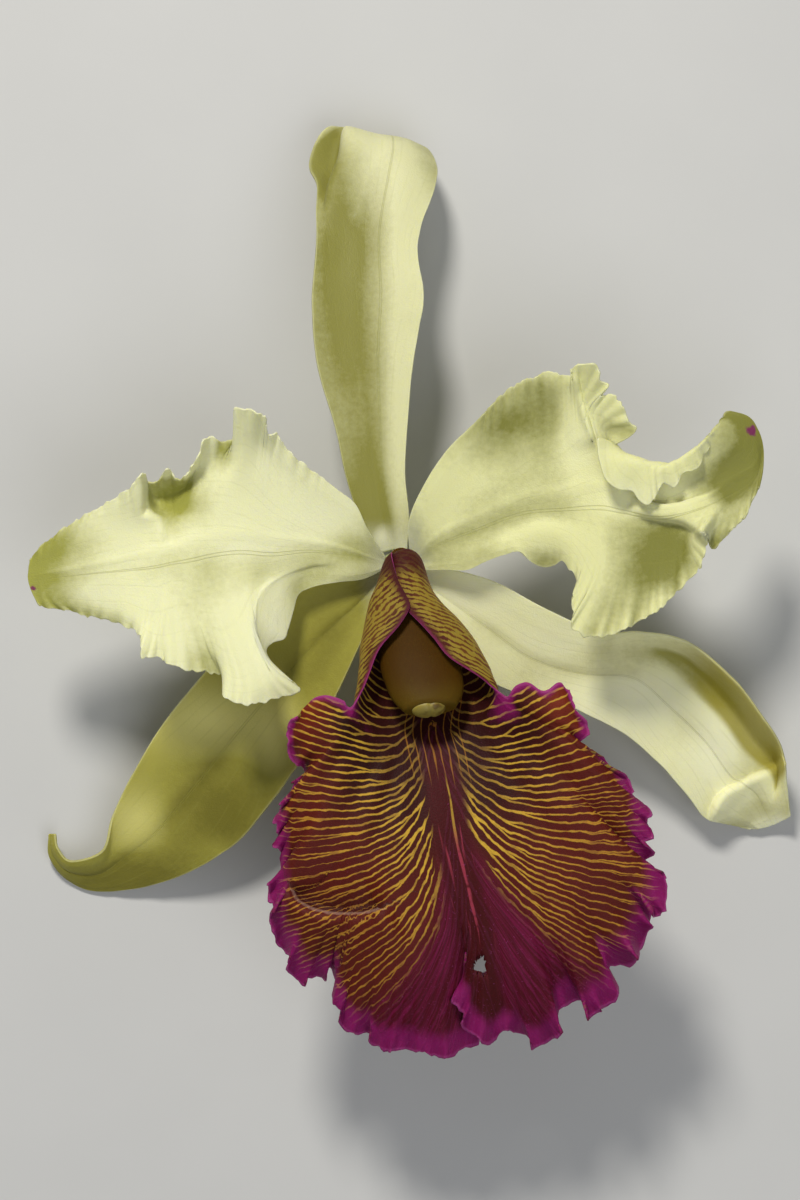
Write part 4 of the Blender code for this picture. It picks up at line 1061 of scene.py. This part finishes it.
# In both lip materials, in mm: onward from the tube's mouth, aside from the middle line, and rim from the
# edge
def lipBack():
    # Broken dark stripes that slant back from the margin over a gold ground
    look = lipLook
    paint, fine, lump, clouds, speckle, side, onward, rim = startLip(
        "veined lip back", "flowSide", "onward", "fromEdge")
    right = side.between(-0.02, 0.02)
    laidBack = (onward - 0.40 * rim) / look["pitch"] + (lump - 0.5) * 1.3 + (clouds - 0.5) * 2.0
    torn = paint.noise(paint.vector(laidBack * 0.9, rim * 0.75, right * 7.0), 1.0, 3, 0.6)
    stripe = paint.maths("PINGPONG", laidBack + 100.0, 0.5) * 2.0 + (torn - 0.5) * 2.8 + (fine - 0.5) * 0.6
    vein = stripe.between(0.74, 0.44)
    wavy = rim + (lump - 0.5) * 3.0
    golden = vein * wavy.between(0.2, 2.6) * (1.0 - onward.between(4.0, 24.0) * 0.8)
    # Plain olive gold at the far sides, where the stripes fade
    golden = 1.0 - (1.0 - golden) * (1.0 - (rim + (clouds - 0.5) * 4.0).between(8.0, 11.5) * 0.8)
    seam = paint.mix(onward.between(-24.0, -8.0), look["outerTop"], look["seam"])
    colour = paint.over(
        look["outerDark"], (wavy.between(1.5, 5.0), look["outerBrown"]),
        (onward.between(2.0, 22.0), look["margin"]), (golden, look["outerGold"]),
        ((rim + (fine - 0.5) * 1.4).between(1.0, 0.3) * 0.85, seam),
        ((onward + (fine - 0.5) * 4.0).between(-27.5, -32.0) * 0.92, look["outerTop"]))
    return finishLip(paint, colour, vein, speckle)


def lipFace():
    look = lipLook
    paint, fine, lump, clouds, speckle, across, along, side, spread, onward, out, rim, band, shelf = startLip(
        "veined lip face", "flowAcross", "flowAlong", "flowSide", "flowSpread", "onward", "outward",
        "fromEdge",
        "band", "shelf")
    aside = abs(side)
    right = side.between(-0.02, 0.02)

    # The forking veins, laid side by side across the flow and bent a little
    wide = paint.noise(paint.vector(across * 0.16, right * 9.0), 1.0, 1)
    wiggle = paint.noise(paint.vector(across * 0.12, along * 0.32, right * 9.0), 1.0, 2)
    bent = paint.maths("MINIMUM", 1.1 / (spread * look["cell"]), 0.7)
    laid = (across / look["cell"] + (wide - 0.5) * 0.22 + (wiggle - 0.5) * bent + (fine - 0.5) * bent * 0.5
            + right * 0.37)
    half = along.between(44.0, 10.0) * 0.075 + 0.115 + (lump - 0.5) * 0.14
    vein = forkingVeins(paint, laid, along, spread, 2.0 + 50.0 * right, half)

    # The crimson ground over the throat's dark colour, which also serves as painted shadow. Painted shadow
    # where the column and the tube keep the light from the lip's middle, painted glowing light beside the
    # mouth, the gold stops in front, where on the left it reaches further down, and painted shade lies above
    # the left shelf
    # Painted light: a warm glow where light shines through the lip beside the mouth
    paintedGlow = onward.between(8.0, -6.0) * out.between(0.45, 0.75)
    shade = ((onward + (lump - 0.5) * 6.0).between(21.0, 9.0)
             * (aside + (clouds - 0.5) * 6.0).between(16.0, 9.0))
    front = (across + (clouds - 0.5) * 6.0 + (lump - 0.5) * 2.5 - 4.0 * (1.0 - right)).between(12.0, 18.5)
    pleats = paint.noise(paint.vector(across * 1.7, along * 0.06, right * 5.0), 1.0, 3)
    centre = ((aside + (lump - 0.5) * 2.0).between(4.8, 2.4) * onward.between(-8.0, 8.0)
              * across.between(-6.0, 6.0))
    marginShare = (rim / band + (clouds - 0.5) * 0.5 + (fine - 0.5) * 0.4).between(1.2, 0.5)
    # Painted shade above the left shelf's edge
    shelfShadow = shelf.between(-7.0, -0.6) * shelf.between(0.1, -0.1)
    streaks = paint.noise(paint.vector(side * 1.3, onward * 0.06), 1.0, 2)
    streaked = streaks.between(0.58, 0.72) * centre * onward.between(60.0, 25.0) * onward.between(8.0, 22.0)
    ground = paint.over(
        look["throat"],
        ((out + (lump - 0.5) * 0.1).between(0.12, 0.55), look["ground"]),
        (paintedGlow * 0.7, look["paintedGlow"]), (shade * 0.6, look["throat"]), ((clouds - 0.4) * 1.2, look["centre"]),
        (front, paint.mix(pleats.between(0.42, 0.70), look["front"], look["frontPale"])),
        (centre, look["centre"]), (marginShare, look["margin"]), (shelfShadow * 0.65, look["throat"]),
        (streaked * 0.5, look["streak"]))

    # Straight veins side by side in the throat's floor, which fade before the flow begins to fork
    lines = abs(paint.maths("PINGPONG", side + (wiggle - 0.5) * 0.9 + 100.0, 0.8))
    thread = lines.between(0.17, 0.06) * aside.between(6.2, 5.4)
    thread = thread * (onward - 9.0 * paint.noise(paint.vector(side * 0.6, 3.0), 1.0, 1)).between(9.0, 3.0)
    # How much of the forking veins shows, less in the painted shadows, and their gold
    flow = 1.0 - (1.0 - aside.between(2.8, 4.8)) * onward.between(-26.0, -18.0)
    outermost = (rim / band + (fine - 0.5) * 0.3).between(0.75, 0.25)
    worn = paint.noise(paint.vector(laid * 2.3, along * 0.30, right * 3.0), 1.0, 2)
    shown = ((1.0 - front) * (1.0 - outermost) * (1.0 - marginShare * 0.45) * (1.0 - centre * 0.9) * flow
             * (1.0 - shade * 0.62) * (1.0 - shelfShadow * 0.35) * (0.55 + 0.45 * worn.between(0.30, 0.58)))
    gold = paint.over(look["gold"], (along.between(14.0, 40.0) * 0.8, look["goldDeep"]),
                      (marginShare * 0.85, look["tan"]))
    # One broken line beside the middle, yellow at first and then pink
    beside = abs(side - 0.7 + (wiggle - 0.5) * 0.9)
    midline = (beside.between(0.30, 0.10) * onward.between(10.0, 14.0) * onward.between(47.0, 38.0)
               * paint.noise(paint.vector(onward * 0.35, 8.0), 1.0, 2).between(0.34, 0.50))
    midlineColour = paint.mix(onward.between(19.0, 27.0), look["gold"], look["streak"])
    # A painted highlight on the left shelf's thin edge, and painted glints on the plain parts
    shelfHighlight = abs(shelf + (fine - 0.5) * 0.5).between(0.42, 0.08)
    paintedGlints = speckle.between(0.62, 0.74) * paint.maths("MAXIMUM", front, marginShare) * 0.22
    colour = paint.over(
        ground, (thread * 0.6, look["goldDeep"]), (vein * shown, gold),
        (vein * (1.0 - shown) * 0.04, look["paleRimAndGlints"]), (midline * 0.6, midlineColour),
        (rim.between(0.8, 0.2) * 0.5, look["paleRimAndGlints"]), (shelfHighlight * 0.38, look["shelfHighlight"]),
        (paintedGlints, look["paleRimAndGlints"]))
    return finishLip(paint, colour, vein, speckle)


def pierce(sheet, seen, hole):
    # A small gap through the sheet, with the sheet's edge drawn onto its outline
    x, y, wide, tall, unround = hole
    off = (seen - (x, y)) / (wide, tall)
    turn = np.arctan2(off[:, 1], off[:, 0])
    outline = 1 + unround * np.sin(3 * turn + 0.7)
    off *= outline[:, None]
    far = np.hypot(off[:, 0], off[:, 1])
    inside = far < 1
    target = np.array([x, y]) + off / far[:, None] * (wide, tall) / outline[:, None]
    shift = (target - seen) * sight["mm"]
    bm = bmesh.new()
    bm.from_mesh(sheet.data)
    bm.verts.ensure_lookup_table()
    gone = [bm.verts[k] for k in np.flatnonzero(inside)]
    rim = {other for vert in gone for link in vert.link_edges for other in link.verts
           if not inside[other.index]}
    for vert in rim:
        vert.co.x += shift[vert.index][0]
        vert.co.y += shift[vert.index][1]
    bmesh.ops.delete(bm, geom=gone, context="VERTS")
    bm.to_mesh(sheet.data)
    bm.free()


def makeLip():
    shape = lipShape
    bm, u, v, rows = gridMesh(shape["cuts"])
    u = 1 - (1 - u) ** shape["marginRows"]      # closer rows near the margin
    points, out, fromEdge = lipPoints(u, v, rows)
    seen = seenFromAbove(points)
    band = np.asarray(shape["band"], float)
    marks = lipFlowMarks(points, u, rows)
    marks.update(outward=out, fromEdge=fromEdge, band=np.interp(v, band[:, 0], band[:, 1]),
                 shelf=shelfDistance(seen, v))
    lip = finishSheet("frilled_lip", bm, points, marks, shape, np.clip(fromEdge / shape["thins"], 0, 1),
                      [lipFace(), lipBack()], "lip")
    pierce(lip, seen, shape["hole"])


def ringBody(name, rings, material, node):
    # A closed body from rings of points, one after the other
    bm = bmesh.new()
    loops = []
    for ring in rings:
        circle = bmesh.ops.create_circle(bm, cap_ends=False, segments=len(ring), radius=1.0)["verts"]
        for vert, place in zip(circle, onTable(np.asarray(ring))):
            vert.co = place
        bm.edges.ensure_lookup_table()
        loops.append(bm.edges[-len(ring):])
    for first, second in zip(loops, loops[1:]):
        bmesh.ops.bridge_loops(bm, edges=first + second)
    for end in (loops[0], loops[-1]):
        bmesh.ops.contextual_create(bm, geom=end)
    bmesh.ops.recalc_face_normals(bm, faces=bm.faces)
    standIn(name, meshFrom(bm, name), [material], node)


def turnsOf(sides):
    turns = 2 * np.pi * np.arange(sides) / sides
    return turns, np.cos(turns), np.sin(turns)


# The column's and the cap's colours are darkened as painted shade from the lip's tube, and the column is
# paler towards its tip, where the painted shade is lighter
columnLook = {"amber": (0.060, 0.025, 0.0012), "pale": (0.098, 0.058, 0.004), "cap": (0.25, 0.20, 0.035),
              "paler": (-0.017, -0.0265), "clouds": (140, 3), "specks": (1500, 2), "grain": (700, 3),
              "cells": 2600,
              "roughness": (0.50, 0.2), "bump": (0.00012, 0.4),
              "capClouds": (500, 3), "capRoughness": (0.38, 0.2), "capBump": (0.0002, 0.4)}


def columnMaterial():
    look = columnLook
    paint = Paint("waxy amber column in painted shade", Subsurface_Weight=0.35, Subsurface_Scale=0.002,
                  Subsurface_Radius=(1.0, 0.5, 0.1), Specular_IOR_Level=0.1)
    _, y, _ = paint.split()
    clouds, specks, grain = (paint.grain(*look[key]) for key in ("clouds", "specks", "grain"))
    # Painted shade: dark amber, paler towards the tip
    colour = paint.over(look["amber"], ((y + (clouds - 0.5) * 0.006).between(*look["paler"]), look["pale"]),
                        (specks.between(0.60, 0.75) * 0.2, look["pale"]))
    height = grain + paint.cells(look["cells"]) * 0.4
    least, more = look["roughness"]
    return paint.finish(colour, least + more * clouds, height, look["bump"])


def makeColumn():
    shape = columnShape
    foot, axis, _, side, up = columnFrame()
    profile = np.asarray(shape["profile"], float)
    places = np.linspace(profile[0, 0], profile[-1, 0], shape["rings"])
    turns, cosines, sines = turnsOf(shape["sides"])
    ridge = 1 + shape["keel"] * np.cos(2 * turns - np.pi) * (turns < np.pi)      # a low keel along the back
    rings = []
    for place, (wide, deep) in zip(places, curveThrough(profile[:, 0], profile[:, 1:], places)):
        lean = shape["lean"] * smooth(*shape["leans"], place)
        rings.append(foot + place * axis + lean * side + np.outer(cosines * wide, side)
                     + np.outer(sines * deep * ridge, up))
    ringBody("column_body", rings, columnMaterial(), "column")


def makeCap():
    shape, look = columnShape, columnLook
    foot, axis, ahead, side, up = columnFrame()
    wide, deep, long = shape["cap"]
    middle, width, depth = shape["groove"]
    seat = (foot + shape["profile"][-1][0] * axis + ahead * shape["capAhead"]
            + side * (shape["lean"] + shape["capAside"]))
    bm = bmesh.new()
    bmesh.ops.create_uvsphere(bm, u_segments=48, v_segments=32, radius=1.0)
    whole = bm.verts[:] + bm.edges[:] + bm.faces[:]
    cut = bmesh.ops.bisect_plane(bm, geom=whole, plane_co=(0, 0, 0), plane_no=(0, 0, -1), clear_outer=True)
    rim = [item for item in cut["geom_cut"] if isinstance(item, bmesh.types.BMEdge)]
    bmesh.ops.contextual_create(bm, geom=rim)
    for vert in bm.verts:
        x, y, z = vert.co
        groove = 1 - depth * math.exp(-((x - middle) / width) ** 2)      # two lobes with a groove between
        vert.co = onTable(seat + side * x * wide + up * y * deep * groove + ahead * z * long * groove)
    bm.normal_update()
    bmesh.ops.recalc_face_normals(bm, faces=bm.faces)
    paint = Paint("pale cap in painted shade", Subsurface_Weight=0.5, Subsurface_Scale=0.002,
                  Subsurface_Radius=(1.0, 0.8, 0.3),
                  Specular_IOR_Level=0.45)
    clouds = paint.grain(*look["capClouds"])
    colour = paint.mix(clouds.between(0.42, 0.70), look["cap"], look["pale"])
    least, more = look["capRoughness"]
    material = paint.finish(colour, least + more * clouds, clouds, look["capBump"])
    standIn("cap", meshFrom(bm, "cap"), [material], "anther_cap")


stalkShape = {
    "path": [(-0.4, 7.2, 25.5, 3), (-0.4, 6.2, 21.5, 2.9), (-0.3, 3.2, 16, 3), (0, -3, 10, 2.9),
             (0.8, -12, 5.6, 2.7), (2, -24, 3.4, 2.5), (3.2, -38, 2.5, 2.4), (4.4, -52, 2.45, 2.4)],
    "rings": 150, "sides": 60, "ribs": 6, "ribDepth": 0.07, "dome": (0.97, 0.9, 0.75, 0.55, 0.3),
    "clouds": (130, 3), "specks": (1400, 2), "cutAt": (-0.0556, -0.0559), "palerUp": (0.006, 0.027),
    "roughness": (0.36, 0.2), "bump": (0.0002, 0.4),
    "green": (0.24, 0.36, 0.08), "pale": (0.48, 0.55, 0.20), "cut": (0.62, 0.62, 0.34),
}


def makeStalk():
    shape = stalkShape
    path = np.asarray(shape["path"], float)
    places = np.linspace(0, 1, shape["rings"])
    centres = evenCurve(path, places)
    onward = np.gradient(centres[:, :3], axis=0)
    onward /= np.linalg.norm(onward, axis=1)[:, None]
    turns, cosines, sines = turnsOf(shape["sides"])
    rings = []
    for place, centre, ahead in zip(places, centres, onward):
        side = np.cross([1.0, 0, 0], ahead)
        side /= np.linalg.norm(side)
        across = np.cross(ahead, side)
        rib = 1 - shape["ribDepth"] * (0.5 - 0.5 * np.cos(shape["ribs"] * turns)) * smooth(0.75, 0.2, place)
        ringShape = np.outer(cosines, side) + np.outer(sines, across)
        rings.append(centre[:3] + centre[3] * rib[:, None] * ringShape)
    top = path[0]
    dome = [top[:3] + (rings[0] - top[:3]) * math.sqrt(1 - lift**2) + np.array([0, 0, top[3] * lift])
            for lift in shape["dome"]]
    paint = Paint("ribbed green stalk", Subsurface_Weight=0.35, Subsurface_Scale=0.002,
                  Subsurface_Radius=(0.7, 1.0, 0.3), Specular_IOR_Level=0.45)
    _, y, z = paint.split()
    clouds, specks = (paint.grain(*shape[key]) for key in ("clouds", "specks"))
    colour = paint.over(
        shape["green"], ((z + (clouds - 0.5) * 0.01).between(*shape["palerUp"]), shape["pale"]),
        (specks.between(0.58, 0.72) * 0.35, shape["pale"]), (y.between(*shape["cutAt"]), shape["cut"]))
    least, more = shape["roughness"]
    material = paint.finish(colour, least + more * clouds, specks + clouds, shape["bump"])
    ringBody("ovary_and_stalk", dome + rings, material, "pedicel")


studio = {
    "floor": 6.0, "grain": (30, 4), "floorColours": ((0.56, 0.56, 0.55), (0.60, 0.60, 0.59)),
    "sky": (0.80, 0.82, 0.86, 1), "skyStrength": 0.22, "aim": (0, 0, 0.03),
    # place, size, power and colour of each light
    "lights": {"key": ((-0.20, 0.66, 0.82), 0.22, 8.9, (1.0, 0.97, 0.90)),
               "fill": ((0.3, -0.5, 1.1), 1.0, 4.8, (0.95, 0.97, 1.0))},
    "sensor": 36, "frameHeight": 240,      # mm that fill the frame's height at the flower's middle
}


def makeStage():
    bm = bmesh.new()
    bmesh.ops.create_grid(bm, x_segments=1, y_segments=1, size=studio["floor"])
    mesh = meshFrom(bm, "floor")
    floor = bpy.data.objects.new("floor", mesh)
    bpy.context.scene.collection.objects.link(floor)
    paint = Paint("pale floor", Roughness=0.85, Specular_IOR_Level=0.2)
    mottle = paint.grain(*studio["grain"])
    mesh.materials.append(paint.finish(paint.mix(mottle, *studio["floorColours"])))
    print("made the floor")


def makeLightAndCamera():
    scene = bpy.context.scene
    world = bpy.data.worlds.new("studio")
    world.use_nodes = True
    background = world.node_tree.nodes["Background"].inputs
    background["Color"].default_value = studio["sky"]
    background["Strength"].default_value = studio["skyStrength"]
    scene.world = world
    for name, (place, size, power, colour) in studio["lights"].items():
        data = bpy.data.lights.new(name, "AREA")
        data.shape = "DISK"
        data.size = size
        data.energy = power
        data.color = colour
        lamp = bpy.data.objects.new(name, data)
        lamp.location = place
        lamp.rotation_euler = (Vector(studio["aim"]) - Vector(place)).to_track_quat("-Z", "Y").to_euler()
        scene.collection.objects.link(lamp)
    scene.view_settings.view_transform = "Standard"
    data = bpy.data.cameras.new("camera")
    data.lens = studio["sensor"] * sight["distance"] / studio["frameHeight"]
    data.sensor_width = studio["sensor"]
    data.clip_start, data.clip_end = 0.01, 50
    camera = bpy.data.objects.new("camera", data)
    x, y = sight["boxCentre"]
    camera.location = [part * sight["mm"] for part in (-x, -y, sight["middle"] + sight["distance"])]
    scene.collection.objects.link(camera)
    scene.camera = camera
    print("made lights and camera")


makeTepals()
makeLip()
makeColumn()
makeCap()
makeStalk()
makeStage()
makeLightAndCamera()
